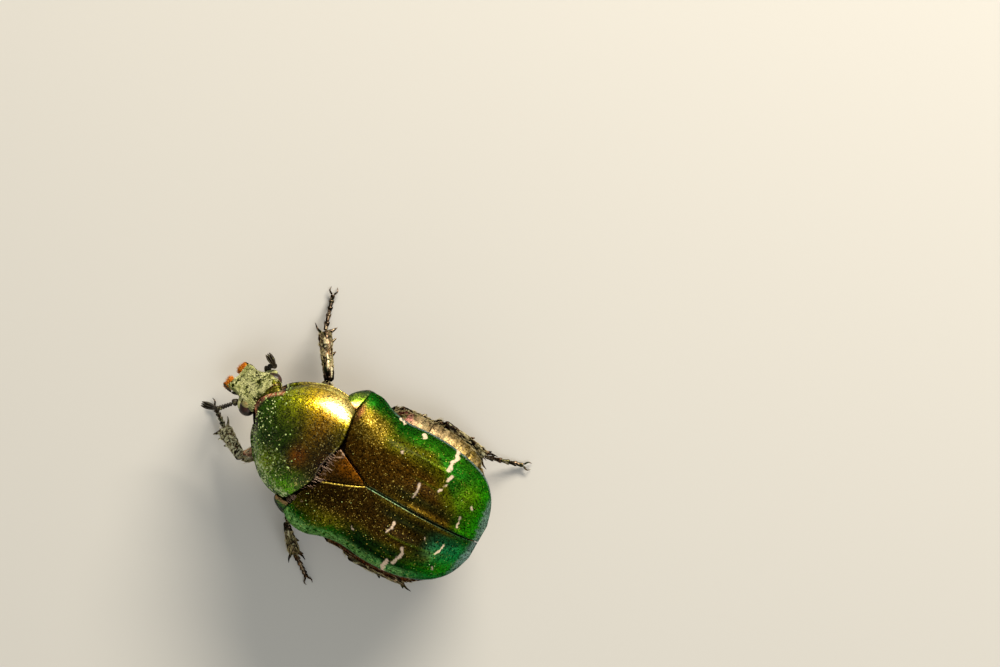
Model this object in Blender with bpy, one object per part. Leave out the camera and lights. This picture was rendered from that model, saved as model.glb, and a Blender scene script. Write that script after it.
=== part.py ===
# Rose chafer at life size, standing with its legs spread and its head turned a little to its right.
# Sizes are in millimetres and are turned to metres where each mesh is made.
# The head faces -Y, the beetle's left is +X and +Z is up.

import math

import bmesh
import bpy
from mathutils import Matrix, Vector

# Sizes
metres_per_mm = 0.001
seam = 0.22                       # clear gap between neighbouring pieces
shell_thickness = 0.55            # elytra and pronotum
body_width = 9.5                  # across the shoulders of the elytra
elytra_front = -0.05              # front edge of the elytra along the body
elytra_slant = -0.14              # their front edges follow the base of the turned pronotum
shoulder_reach = 0.22             # how far the right shoulder stands forward of that slant
elytra_apex = 10.62
emargination_width = 8.6          # across the notch behind the shoulders
ridge_height = 7.35               # top of the elytra over the floor
margin_height = 4.0               # side edge of the elytra over the floor
belly_height = 1.25               # lowest part of the underside over the floor
abdomen_swell = 0.36              # how far the flank stands out past the elytra
abdomen_segments = 5
scutellum_base = 0.3
scutellum_tip = 2.85
scutellum_width = 2.3
pronotum_length = 5.15
pronotum_width = 7.5
pronotum_base = Vector((0.02, -0.02, 0.0))
pronotum_yaw = math.radians(-10)  # turned to the beetle's right
pronotum_top = 7.1
pronotum_margin = 4.55
head_place = Vector((-1.32, -5.75, 3.7))
head_yaw = math.radians(-3)
head_pitch = math.radians(38)
head_roll = math.radians(-18)
head_half_width = 1.28
head_front = 2.15                 # eye line to the front edge of the clypeus
clypeus_half_width = 0.93
eye_spread = 1.34
eye_size = Vector((0.56, 0.4, 0.5))
floor_level = 0.0
pygidium_top = 3.55
pygidium_height = 1.75
pygidium_thickness = 0.52
mesepimeron_inner = 3.52          # from the middle plane to the inner end of the wedge
mesepimeron_length = {1: 0.95, -1: 1.3}
scutellum_thickness = 0.5
abdomen_front = 4.85
abdomen_rear = 9.05

# Feelers: place of the bend before the club and of the club's tip, by side
antenna_bend = {1: Vector((0.95, -7.55, 3.35)), -1: Vector((-3.55, -5.95, 3.45))}
antenna_tip = {1: Vector((1.2, -8.55, 3.05)), -1: Vector((-3.9, -6.7, 3.4))}
antenna_elbow = {1: Vector((0.3, -0.2, 0.1)), -1: Vector((-0.35, -0.05, 0.0))}
scape_radius = 0.3
stalk_radius = 0.24
stalk_joints = 8
leaf_size = (0.13, 0.28)          # half thickness and half breadth of a leaf of the club
leaf_spacing = 0.15

# Mouth brushes
brush_length = 1.1
brush_radius = 0.28
palp_radius = 0.17

# Joint places of each leg: hip, knee, ankle, middle and end of the foot
leg_places = {
    "front_right": (
        (-1.3, -2.5, 2.2), (-3.95, -2.35, 2.9), (-6.35, -4.2, 1.15), (-7.75, -4.68, 0.3), (-8.55, -4.95, 0.2),
    ),
    "front_left": (
        (0.9, -2.9, 2.2), (2.9, -4.75, 3.05), (2.1, -6.65, 0.95), (1.55, -7.4, 0.3), (1.3, -7.95, 0.2),
    ),
    "middle_right": (
        (-1.3, 1.0, 2.0), (-4.88, 2.3, 2.75), (-4.6, 4.75, 1.2), (-4.35, 5.9, 0.3), (-4.1, 7.1, 0.2),
    ),
    "middle_left": (
        (1.3, 1.0, 2.0), (5.0, -0.35, 2.85), (6.65, 1.05, 1.25), (7.35, 1.95, 0.3), (7.75, 2.45, 0.2),
    ),
    "hind_right": (
        (-1.7, 3.6, 2.0), (-5.35, 5.1, 2.75), (-4.6, 8.3, 1.35), (-4.9, 9.7, 0.32), (-5.25, 10.75, 0.2),
    ),
    "hind_left": (
        (1.7, 3.6, 2.0), (4.98, 4.05, 2.55), (4.65, 7.85, 1.25), (3.4, 9.0, 0.3), (2.2, 9.6, 0.2),
    ),
}
femur_radius = {"front": 0.5, "middle": 0.5, "hind": 0.62}
tibia_radius = {"front": 0.4, "middle": 0.42, "hind": 0.52}
tarsus_radius = 0.26
tarsus_joints = 4
ankle_gap = 0.5                   # from the ankle to the first joint of the foot
tooth_radius = 0.24
spur_length = 1.1
spur_radius = 0.16
claw_length = 0.6
claw_spread = 0.36
claw_radius = 0.17
tip_radius = 0.05                 # spines, spurs and claws end in this

# Teeth of the tibia: share of its length and how far each stands out
front_teeth = ((0.5, 0.22), (0.76, 0.3), (0.97, 0.4))
other_teeth = ((0.55, 0.15), (0.97, 0.2))

made = {}


def clear_scene():
    for item in list(bpy.data.objects):
        bpy.data.objects.remove(item, do_unlink=True)


def finish_of(name, colour, roughness, metallic):
    material = bpy.data.materials.new(name)
    material.use_nodes = True
    shader = material.node_tree.nodes["Principled BSDF"]
    shader.inputs["Base Color"].default_value = (*colour, 1.0)
    shader.inputs["Roughness"].default_value = roughness
    shader.inputs["Metallic"].default_value = metallic
    return material


def through(knots, place):
    """Smooth curve through (place, value) knots, flat beyond the ends."""
    if place <= knots[0][0]:
        return knots[0][1]
    for index in range(len(knots) - 1):
        (start, low), (end, high) = knots[index], knots[index + 1]
        if place <= end:
            before = knots[max(index - 1, 0)]
            after = knots[min(index + 2, len(knots) - 1)]
            span = end - start
            slope_in = (high - before[1]) / (end - before[0]) * span
            slope_out = (after[1] - low) / (after[0] - start) * span
            t = (place - start) / span
            return (
                low * (2 * t**3 - 3 * t**2 + 1)
                + slope_in * (t**3 - 2 * t**2 + t)
                + high * (3 * t**2 - 2 * t**3)
                + slope_out * (t**3 - t**2)
            )
    return knots[-1][1]


def hump(x, y, place, reach, height):
    away = ((x - place[0]) / reach[0]) ** 2 + ((y - place[1]) / reach[1]) ** 2
    return height * math.exp(-away)


def mesh_object(name, rings):
    """Closed solid through rings of equally many points."""
    bm = bmesh.new()
    loops = [[bm.verts.new(Vector(point) * metres_per_mm) for point in ring] for ring in rings]
    count = len(loops[0])
    for near, far in zip(loops, loops[1:]):
        for step in range(count):
            after = (step + 1) % count
            bm.faces.new((near[step], near[after], far[after], far[step]))
    bm.faces.new(list(reversed(loops[0])))
    bm.faces.new(loops[-1])
    bmesh.ops.triangulate(bm, faces=[face for face in bm.faces if len(face.verts) > 4])
    bmesh.ops.recalc_face_normals(bm, faces=bm.faces)
    if bm.calc_volume(signed=True) < 0:
        bmesh.ops.reverse_faces(bm, faces=bm.faces)
    return object_of(name, bm)


def object_of(name, bm):
    mesh = bpy.data.meshes.new(name)
    bm.to_mesh(mesh)
    bm.free()
    item = bpy.data.objects.new(name, mesh)
    bpy.context.scene.collection.objects.link(item)
    return item


def ellipsoid(name, place, size, turn=None, detail=(16, 10), grow=0.0):
    bm = bmesh.new()
    bmesh.ops.create_uvsphere(bm, u_segments=detail[0], v_segments=detail[1], radius=1.0)
    spread = Matrix.Diagonal((*[(edge + grow) for edge in size], 1.0))
    move = Matrix.Translation(Vector(place)) @ (turn or Matrix.Identity(4)) @ spread
    bmesh.ops.transform(bm, matrix=Matrix.Scale(metres_per_mm, 4) @ move, verts=bm.verts)
    return object_of(name, bm)


def tube(name, path, radii, sides=10, flatten=1.0, up=Vector((0, 0, 1)), grow=0.0):
    """Round tube with domed ends along a path. flatten narrows it along the up direction."""
    points = [Vector(point) for point in path]
    count = len(points)
    rings = []
    for index, point in enumerate(points):
        along = (points[min(index + 1, count - 1)] - points[max(index - 1, 0)]).normalized()
        across = along.cross(up).normalized()
        normal = across.cross(along).normalized()
        radius = radii[index] + grow

        def ring(shift, share):
            middle = point + along * shift
            return [
                middle
                + across * math.cos(turn) * radius * share
                + normal * math.sin(turn) * (radius * flatten + grow * (1 - flatten)) * share
                for turn in (2 * math.pi * step / sides for step in range(sides))
            ]

        if index == 0:
            rings += [ring(-0.85 * radius, 0.4), ring(-0.5 * radius, 0.84)]
        rings.append(ring(0.0, 1.0))
        if index == count - 1:
            rings += [ring(0.5 * radius, 0.84), ring(0.85 * radius, 0.4)]
    return mesh_object(name, rings)


def spine(name, root, tip, radius, bend=Vector((0, 0, 0)), sides=5, steps=3):
    """Tapered spine that curves by bend on its way to the tip."""
    root, tip = Vector(root), Vector(tip)
    along = (tip - root).normalized()
    across = along.orthogonal().normalized()
    normal = along.cross(across)
    rings = []
    for step in range(steps + 1):
        share = step / steps
        middle = root.lerp(tip, share) + bend * math.sin(math.pi * share)
        width = radius * (1 - share) ** 0.8 + tip_radius * share
        rings.append([
            middle + (across * math.cos(turn) + normal * math.sin(turn)) * width
            for turn in (2 * math.pi * side / sides for side in range(sides))
        ])
    return mesh_object(name, rings)


def apply_boolean(item, operation, others):
    """Cuts or joins item with a collection of others, then removes them."""
    group = bpy.data.collections.new(item.name + "_pieces")
    bpy.context.scene.collection.children.link(group)
    for other in others:
        bpy.context.scene.collection.objects.unlink(other)
        group.objects.link(other)
    modifier = item.modifiers.new(operation.lower(), "BOOLEAN")
    modifier.operation = operation
    modifier.operand_type = "COLLECTION"
    modifier.collection = group
    modifier.solver = "EXACT"
    graph = bpy.context.evaluated_depsgraph_get()
    result = bpy.data.meshes.new_from_object(item.evaluated_get(graph))
    item.modifiers.clear()
    item.data = result
    for other in others:
        bpy.data.objects.remove(other, do_unlink=True)
    bpy.data.collections.remove(group)
    keep_largest(item)


def keep_largest(item):
    """Keeps the closed surface with the largest volume and drops the scraps that a cut leaves."""
    bm = bmesh.new()
    bm.from_mesh(item.data)
    bmesh.ops.triangulate(bm, faces=bm.faces)
    unseen = set(bm.faces)
    shells = []
    while unseen:
        stack = [unseen.pop()]
        shell = []
        while stack:
            face = stack.pop()
            shell.append(face)
            for edge in face.edges:
                for neighbour in edge.link_faces:
                    if neighbour in unseen:
                        unseen.remove(neighbour)
                        stack.append(neighbour)
        shells.append(shell)
    shells.sort(key=lambda shell: -abs(sum(
        face.verts[0].co.dot(face.verts[1].co.cross(face.verts[2].co)) for face in shell
    )))
    for shell in shells[1:]:
        bmesh.ops.delete(bm, geom=shell, context="FACES")
    loose = [vert for vert in bm.verts if not vert.link_faces]
    bmesh.ops.delete(bm, geom=loose, context="VERTS")
    bm.to_mesh(item.data)
    bm.free()


def node(item, name, material, smooth_angle=40):
    item.name = name
    item.data.name = name
    item.data.materials.clear()
    item.data.materials.append(material)
    item.data.shade_smooth()
    item.data.set_sharp_from_angle(angle=math.radians(smooth_angle))
    made[name] = item


# Elytra: half width, ridge and margin along the body
def elytra_half_width(y):
    shoulder = body_width / 2
    notch = emargination_width / 2
    knots = (
        (-1.0, shoulder * 0.88), (-0.2, shoulder * 0.975), (1.0, shoulder), (2.1, notch * 1.035),
        (3.2, notch), (4.8, notch * 1.03), (6.4, notch * 1.02), (7.8, notch * 0.955),
        (9.0, notch * 0.83), (9.8, notch * 0.67), (10.3, notch * 0.49), (elytra_apex, notch * 0.26),
    )
    return through(knots, y)


def elytra_ridge(y):
    front_fall = 0.5 * max(0.0, (2.6 - y) / 2.6) ** 2
    rear_fall = 2.95 * max(0.0, (y - 3.6) / (elytra_apex - 3.6)) ** 2.5
    return ridge_height - front_fall - rear_fall


def elytra_margin(y):
    shoulder_rise = 0.75 * math.exp(-((y - 0.2) / 1.2) ** 2)
    return margin_height + shoulder_rise - 0.25 * max(0.0, (y - 6.0) / 4.6) ** 2


def dome(x, y, inset=0.0):
    """Height of the elytra's surface, or of the surface that lies inset below it."""
    width = elytra_half_width(y) - inset
    low = elytra_margin(y)
    high = elytra_ridge(y) - inset
    share = min(1.0, abs(x) / width)
    height = low + (high - low) * (1 - share**2.7) ** 0.52
    side = abs(x)
    height += hump(side, y, (3.35, 1.35), (0.75, 1.0), 0.26)
    height += hump(side, y, (2.1, 9.0), (0.8, 0.7), 0.28)
    if inset == 0:
        rear = max(0.0, min(1.0, (y - 4.5) / 2.5))
        height += hump(side, y, (0.25, 8.0), (0.22, 9.0), 0.16 * rear)
        height -= hump(side, y, (1.0, 7.6), (0.5, 2.4), 0.16)
    return height


def scutellum_half_width(y):
    share = max(0.0, min(1.0, (y - scutellum_base) / (scutellum_tip - scutellum_base)))
    return scutellum_width / 2 * (1 - share) ** 0.9


def elytra_inner_edge(y):
    past_tip = max(0.0, y - scutellum_tip)
    return max(seam / 2, scutellum_half_width(y) + seam * (1 - past_tip / 0.25))


def elytra_front_at(side, x):
    """Front of an elytron at a distance x from the middle plane."""
    share = (x - scutellum_width / 2) / (body_width - scutellum_width) * 2
    forward = max(0.0, min(1.0, (share - 0.44) / 0.24)) if side < 0 else 0.0
    inner = 0.7 * max(0.0, 1 - share / 0.42) ** 1.5
    return elytra_front + inner + elytra_slant * side * x - shoulder_reach * forward**2 * (3 - 2 * forward)


def build_elytron(name, side, material):
    across = [math.sin(math.pi / 2 * step / 11) for step in range(12)]
    along = [1 - (1 - step / 23) ** 1.15 for step in range(24)]
    rings = []
    for t in along:
        outer, inner = [], []
        for share in across:
            front = elytra_front_at(side, (scutellum_width + share * (body_width - scutellum_width)) / 2)
            y = front + (elytra_apex - front) * t
            edge = elytra_inner_edge(y)
            x = edge + (elytra_half_width(y) - edge) * share
            outer.append((side * x, y, dome(x, y)))
            under = edge + (elytra_half_width(y) - shell_thickness - edge) * share
            inner.append((side * under, y, dome(under, y, shell_thickness) - 0.02))
        rings.append(outer + inner[::-1])
    node(mesh_object(name, rings), name, material)


def build_scutellum(material):
    rings = []
    steps = 7
    for step in range(steps + 1):
        y = scutellum_base + (scutellum_tip - 0.12 - scutellum_base) * step / steps
        half = max(0.09, scutellum_half_width(y))
        top, low = [], []
        for turn in range(7):
            x = half * (turn / 3 - 1)
            rise = elytra_ridge(y) - 0.04 - 0.05 * (x / half) ** 2
            top.append((x, y + elytra_slant * x * (1 - step / steps), rise))
            low.append((x, y + elytra_slant * x * (1 - step / steps), rise - scutellum_thickness))
        rings.append(top + low[::-1])
    node(mesh_object("scutellum", rings), "scutellum", material)


# Prothorax, in a frame turned about the middle of its base
def prothorax_to_body(point):
    return Matrix.Rotation(pronotum_yaw, 3, "Z") @ Vector(point) + pronotum_base


def pronotum_half_width(share):
    """share runs from 0 at the front edge to 1 at the base."""
    half = pronotum_width / 2
    knots = (
        (0.0, half * 0.36), (0.05, half * 0.5), (0.13, half * 0.62), (0.28, half * 0.78),
        (0.48, half * 0.93), (0.7, half * 1.0), (0.86, half * 1.0), (1.0, half * 0.97),
    )
    return through(knots, share)


def pronotum_y(share, u):
    """Along the prothorax for a place u across it, from -1 to 1."""
    front = -pronotum_length + 0.3 * u**2
    base = -0.06 + 0.1 * math.sin(math.pi * min(1.0, abs(u) / 0.7)) ** 2 - 0.66 * abs(u) ** 3.2
    return front + (base - front) * share


def pronotum_height(share, u, inset=0.0):
    top = pronotum_top - 1.55 * (1 - share) ** 2.1 - 0.1 * share**4 - inset
    low = pronotum_margin - 0.25 * (1 - share)
    return low + (top - low) * (1 - min(1.0, abs(u)) ** 2.5) ** 0.56


def pronotum_arc(share, inset=0.0):
    """Half way round the pronotum at one place along it. A negative inset gives a larger one."""
    half = pronotum_half_width(share) - inset
    points = []
    for step in range(17):
        u = math.sin(math.pi / 2 * (step / 8 - 1))
        place = (half * u, pronotum_y(share, u), pronotum_height(share, u, inset))
        points.append(prothorax_to_body(place))
    return points


def build_pronotum():
    rings = []
    for step in range(17):
        share = 1 - math.cos(math.pi / 2 * step / 16)
        rings.append(pronotum_arc(share) + pronotum_arc(share, shell_thickness)[::-1])
    return mesh_object("pronotum", rings)


def pronotum_guard():
    """The space that pieces behind and beside the pronotum keep out of."""
    rings = []
    for step in range(9):
        share = 0.4 + 0.6 * step / 8
        shift = Vector((0, seam * (step == 8), 0))
        arc = [point + shift for point in pronotum_arc(share, -seam)]
        rings.append(arc + [point - Vector((0, 0, 1.2)) for point in (arc[-1], arc[0])])
    return mesh_object("guard", rings)


def core_ring(half, top, ledge, swell, low):
    """Cross-section of an inner body: an arch over a ledge and a flank that swells out over the belly."""
    flank = ledge - 0.5
    side = []
    for step in range(8):
        share = math.sin(math.pi / 2 * step / 7)
        side.append((half * share, ledge + (top - ledge) * (1 - share**2.6) ** 0.55))
    side.append((swell - 0.16, ledge - 0.05))
    for step in range(7):
        angle = math.pi / 2 * step / 6
        side.append((swell * math.cos(angle) ** 0.85, flank - (flank - low) * math.sin(angle) ** 1.15))
    side[-1] = (0.0, low)
    return side + [(-x, z) for x, z in side[-2:0:-1]]


def build_prothorax():
    rings = []
    for step in range(9):
        share = 0.1 + 0.82 * step / 8
        y = -pronotum_length * (1 - share) - 0.15
        half = pronotum_half_width(share - 0.06) - shell_thickness - seam - 0.22
        top = pronotum_height(share - 0.06, 0.0, shell_thickness) - seam - 0.2
        ledge = pronotum_height(share, 1.0) - seam - 0.12
        low = belly_height + 0.55 + 0.5 * (1 - share) ** 2
        section = core_ring(half, top, ledge, half + 0.22, low)
        rings.append([prothorax_to_body((x, y, z)) for x, z in section])
    return mesh_object("prothorax", rings)


def rear_ring(y):
    """Cross-section of the rear body, which fills the elytra and swells out under their margin."""
    front_share = max(0.0, min(1.0, (2.6 - y) / 1.6))
    half = elytra_half_width(y) - shell_thickness - seam - 0.08 - 0.4 * front_share
    top = elytra_ridge(y) - shell_thickness - seam - 0.25
    rear_share = max(0.0, (y - 7.0) / 3.4)
    low = belly_height + 0.35 * max(0.0, 1 - y / 2.2) + 1.2 * rear_share**1.6
    swell = elytra_half_width(y) + abdomen_swell - 1.3 * front_share - 0.8 * max(0.0, (y - 8.2) / 2.2)
    ledge = elytra_margin(y) - seam - 0.06
    return [(x, y, z) for x, z in core_ring(half, top, ledge, swell, low)]


def build_thorax():
    """Middle and hind thorax. Its front face lies along the base of the turned prothorax."""
    start, end, steps = -0.25, 4.6, 12
    rings = []
    for step in range(steps + 1):
        share = step / steps
        slant = math.tan(pronotum_yaw) * (1 - share) ** 2
        ring = rear_ring(start + (end - start) * share)
        rings.append([(x, y + slant * x, z) for x, y, z in ring])
    return mesh_object("thorax", rings)


def build_abdomen():
    """Abdomen with a step at the edge of each segment."""
    rings = []
    length = (abdomen_rear - abdomen_front) / abdomen_segments
    for segment in range(abdomen_segments):
        for share, grow in ((0.02, 0.985), (0.55, 1.0), (0.93, 1.0)):
            y = abdomen_front + length * (segment + share)
            rings.append([
                (x * (grow if z < margin_height - 0.4 else 1.0), y, z + (1 - grow) * 4 * (z < 2.6))
                for x, y, z in rear_ring(y)
            ])
    return mesh_object("abdomen", rings)


def build_pygidium(material):
    """Convex plate that closes the rear under the tips of the elytra."""
    rings = []
    for step in range(7):
        share = step / 6
        z = pygidium_top - pygidium_height * share
        half = through(((0.0, 2.05), (0.4, 1.95), (0.8, 1.2), (1.0, 0.6)), share)
        rear = 10.62 - 0.3 * share**2
        outer = []
        inner = []
        for turn in range(9):
            u = turn / 4 - 1
            y = rear - 0.5 * u**2 - 0.1
            outer.append((half * u, y, z))
            inner.append((half * u, y - pygidium_thickness, z + 0.05))
        rings.append(outer + inner[::-1])
    node(mesh_object("pygidium", rings), "pygidium", material)


def mesepimeron_rings(side, grow=0.0):
    """Wedge between the hind corner of the pronotum and the shoulder of the elytron."""
    rings = []
    for step in range(7):
        share = step / 6
        x = mesepimeron_inner + mesepimeron_length[side] * share + grow * (2 * share - 1)
        rear = elytra_front_at(side, x) - seam - 0.04 + grow
        front = rear - 1.4 + 0.95 * share**2.4 - 2 * grow
        high = 5.2 - 0.85 * share**1.8 + grow
        low = 3.9 - grow
        section = (
            (front, high - 0.5), (front * 0.8 + rear * 0.2, high - 0.14), ((front + rear) / 2, high),
            (rear, high + 0.02), (rear, low), (front + 0.2, low),
        )
        rings.append([(side * x, y, z) for y, z in section])
    return rings


# Head, in its own frame: x to the beetle's left, y back, z up from the face
def head_matrix():
    turn = (
        Matrix.Rotation(head_yaw, 4, "Z")
        @ Matrix.Rotation(head_pitch, 4, "X")
        @ Matrix.Rotation(head_roll, 4, "Y")
    )
    return Matrix.Translation(head_place) @ turn


def head_point(x, y, z):
    return head_matrix() @ Vector((x, y, z))


def head_rings(grow):
    rings = []
    stations = (
        (1.75, 0.8, 0.38, -0.62), (1.2, 1.0, 0.42, -0.8), (0.55, head_half_width, 0.52, -0.95),
        (0.0, head_half_width, 0.56, -1.0), (-0.5, head_half_width * 0.93, 0.52, -0.95),
        (-0.85, clypeus_half_width, 0.46, -0.8), (-1.3, clypeus_half_width * 0.97, 0.4, -0.55),
        (-1.75, clypeus_half_width * 1.02, 0.36, -0.25), (-head_front, clypeus_half_width * 0.96, 0.3, -0.08),
    )
    last = len(stations) - 1
    for index, (y, half, top, low) in enumerate(stations):
        stretch = grow if index == 0 else -grow if index == last else 0.0
        points = []
        for step in range(20):
            angle = 2 * math.pi * step / 20
            x = (half + grow) * math.copysign(abs(math.cos(angle)) ** 0.6, math.cos(angle))
            rise = math.copysign(abs(math.sin(angle)) ** 0.75, math.sin(angle))
            z = (top + grow) * rise if rise > 0 else (grow - low) * rise
            notch = 0.12 * (1 - min(1.0, abs(x) / half)) if index == last else 0.0
            points.append(head_point(x, y + stretch + notch, z))
        rings.append(points)
    return rings


def build_eyes_and_head(head_material, eye_material):
    head = mesh_object("head", head_rings(0.0))
    turn = head_matrix().to_3x3().to_4x4()
    sockets = []
    for side, name in ((1, "eye_left"), (-1, "eye_right")):
        place = head_point(side * eye_spread, 0.12, 0.02)
        eye = ellipsoid(name, place, eye_size, turn, (14, 9))
        node(eye, name, eye_material)
        sockets.append(ellipsoid("socket", place, eye_size, turn, (16, 10), 0.14))
    apply_boolean(head, "DIFFERENCE", sockets)
    node(head, "head", head_material)


def build_antenna(name, side, material):
    """Stout first joint, beaded stalk and a club of three leaves."""
    root = head_point(side * 1.4, -0.85, -0.05)
    elbow = root + antenna_elbow[side]
    bend = antenna_bend[side]
    tip = antenna_tip[side]
    stalk_points = [elbow.lerp(bend, step / stalk_joints) for step in range(stalk_joints + 1)]
    stalk_radii = [stalk_radius + 0.03 * (step % 2) for step in range(stalk_joints + 1)]
    scape_radii = [scape_radius * share for share in (0.8, 1.0, 0.87)]
    pieces = [tube("scape", [root, root.lerp(elbow, 0.6), elbow], scape_radii, 8)]
    along = (tip - bend).normalized()
    across = along.cross(Vector((0, 0, 1))).normalized()
    turn = along.to_track_quat("Y", "Z").to_matrix().to_4x4()
    leaf_edges = (leaf_size[0], (tip - bend).length * 0.56, leaf_size[1])
    for leaf in (-1, 0, 1):
        middle = bend.lerp(tip, 0.5) + across * leaf_spacing * leaf
        pieces.append(ellipsoid("leaf", middle, leaf_edges, turn, (8, 6)))
    stalk = tube(name, stalk_points, stalk_radii, 8)
    apply_boolean(stalk, "UNION", pieces)
    node(stalk, name, material)


def build_maxilla(name, side, material):
    """Brush of the upper jaw with the palp beside it."""
    turn = head_matrix().to_3x3()
    root = head_point(side * 0.5, -head_front + 0.35, -0.74)
    brush_tip = root + turn @ Vector((side * 0.14, -brush_length, 0.2))
    lift = turn @ Vector((0, 0, 1))
    brush_radii = [brush_radius * share for share in (0.72, 1.0, 0.9)]
    brush = tube(name, [root, root.lerp(brush_tip, 0.6), brush_tip], brush_radii, 8, 0.9, lift)
    palp_root = root + turn @ Vector((side * 0.22, 0.0, -0.02))
    palp_tip = brush_tip + turn @ Vector((side * 0.28, 0.05, 0.0))
    apply_boolean(brush, "UNION", [tube("palp", [palp_root, palp_tip], [palp_radius, palp_radius * 0.88], 6)])
    node(brush, name, material)


# Legs
def leg_frame(start, end):
    along = (end - start).normalized()
    across = along.cross(Vector((0, 0, 1))).normalized()
    return along, across, across.cross(along)


def femur_path(place):
    hip, knee = Vector(place[0]), Vector(place[1])
    return [hip.lerp(knee, share) for share in (0.0, 0.25, 0.55, 0.8, 0.97)]


def femur_tube(name, pair, place, grow=0.0):
    radius = femur_radius[pair]
    shares = (0.72, 0.95, 1.0, 0.88, 0.68)
    return tube(name, femur_path(place), [radius * share for share in shares], 10, 0.85, grow=grow)


def tibia_tube(name, pair, place, grow=0.0, start=0.06):
    knee, ankle = Vector(place[1]), Vector(place[2])
    radius = tibia_radius[pair]
    points = [knee.lerp(ankle, share) for share in (start, 0.3, 0.6, 0.85, 1.0)]
    return tube(name, points, [radius * share for share in (0.62, 0.72, 0.86, 1.0, 0.9)], 10, 0.85, grow=grow)


def tarsus_path(place):
    ankle, middle, end = (Vector(point) for point in place[2:])
    start = ankle + (middle - ankle).normalized() * ankle_gap
    steps = 3 * tarsus_joints
    points = []
    for step in range(steps + 1):
        share = step / steps
        first = start.lerp(middle, share)
        second = middle.lerp(end, share)
        points.append(first.lerp(second, share))
    return points


def tarsus_tube(name, place, grow=0.0):
    points = tarsus_path(place)
    swelling = (0.78, 0.9, 1.0)
    radii = [tarsus_radius * swelling[step % 3] for step in range(len(points))]
    return tube(name, points, radii, 7, 1.0, grow=grow)


def set_on_floor(item):
    """Flattens what reaches under the floor, so that the foot rests on small flats."""
    for vert in item.data.vertices:
        vert.co.z = max(vert.co.z, floor_level)


def build_leg(leg, place, material):
    pair, side_name = leg.split("_")
    side = 1 if side_name == "left" else -1
    knee, ankle = Vector(place[1]), Vector(place[2])
    along, across, over = leg_frame(knee, ankle)
    length = (ankle - knee).length
    radius = tibia_radius[pair]

    femur = femur_tube("femur", pair, place)
    apply_boolean(femur, "DIFFERENCE", [tibia_tube("guard", pair, place, seam)])
    node(femur, leg + "_femur", material)

    tibia = tibia_tube("tibia", pair, place)
    outward = across * (1 if across.y > 0 else -1)
    pieces = []
    if pair == "front":
        outward = across * (1 if (across.y > 0) == (side < 0) else -1)
    for share, reach in front_teeth if pair == "front" else other_teeth:
        root = knee + along * length * share
        tip = root + outward * (radius + reach) + along * 0.3
        pieces.append(spine("tooth", root, tip, tooth_radius))
    for turn in (-1,) if pair == "front" else (-1, 1):
        root = knee + along * length * 0.97 + outward * radius * 0.3 * turn
        tip = root + along * spur_length + outward * 0.42 * turn - over * 0.1
        pieces.append(spine("spur", root, tip, spur_radius))
    apply_boolean(tibia, "UNION", pieces)
    apply_boolean(tibia, "DIFFERENCE", [tarsus_tube("guard", place, seam * 0.8)])
    node(tibia, leg + "_tibia", material)

    foot = tarsus_tube("tarsus", place)
    path = tarsus_path(place)
    heading = (path[-1] - path[-3]).normalized()
    aside = heading.cross(Vector((0, 0, 1))).normalized()
    claws = []
    for turn in (-1, 1):
        tip = path[-1] + heading * claw_length + aside * claw_spread * turn
        tip.z = tip_radius
        root = path[-1] + aside * 0.08 * turn
        claws.append(spine("claw", root, tip, claw_radius, aside * 0.14 * turn))
    apply_boolean(foot, "UNION", claws)
    set_on_floor(foot)
    node(foot, leg + "_tarsus", material)


def build_body(materials):
    for name, side in (("elytron_left", 1), ("elytron_right", -1)):
        build_elytron(name, side, materials["shell"])
    build_scutellum(materials["scutellum"])
    for name, side in (("mesepimeron_left", 1), ("mesepimeron_right", -1)):
        wedge = mesh_object(name, mesepimeron_rings(side))
        apply_boolean(wedge, "DIFFERENCE", [pronotum_guard()])
        node(wedge, name, materials["pronotum"])
    build_pygidium(materials["underside"])
    build_eyes_and_head(materials["head"], materials["eye"])

    pronotum = build_pronotum()
    apply_boolean(pronotum, "DIFFERENCE", [mesh_object("guard", head_rings(seam))])
    node(pronotum, "pronotum", materials["pronotum"])

    prothorax = build_prothorax()
    guards = [mesh_object("guard", head_rings(seam))]
    for leg in ("front_left", "front_right"):
        guards.append(femur_tube("guard", "front", leg_places[leg], seam))
    apply_boolean(prothorax, "DIFFERENCE", guards)
    node(prothorax, "prothorax", materials["underside"])

    thorax = build_thorax()
    guards = [mesh_object("guard", mesepimeron_rings(side, seam)) for side in (1, -1)]
    for leg in ("middle_left", "middle_right", "hind_left", "hind_right"):
        guards.append(femur_tube("guard", leg.split("_")[0], leg_places[leg], seam))
    apply_boolean(thorax, "DIFFERENCE", guards)
    node(thorax, "thorax", materials["underside"])

    abdomen = build_abdomen()
    guards = []
    for leg in ("hind_left", "hind_right"):
        guards.append(femur_tube("guard", "hind", leg_places[leg], seam))
    apply_boolean(abdomen, "DIFFERENCE", guards)
    node(abdomen, "abdomen", materials["underside"])


def centre_on_floor():
    """Moves everything so that the origin is under the middle of the beetle's box."""
    corners = [vert.co for item in made.values() for vert in item.data.vertices]
    low = Vector([min(corner[axis] for corner in corners) for axis in range(3)])
    high = Vector([max(corner[axis] for corner in corners) for axis in range(3)])
    shift = Vector((-(low.x + high.x) / 2, -(low.y + high.y) / 2, -low.z))
    for item in made.values():
        item.data.transform(Matrix.Translation(shift))


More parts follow.
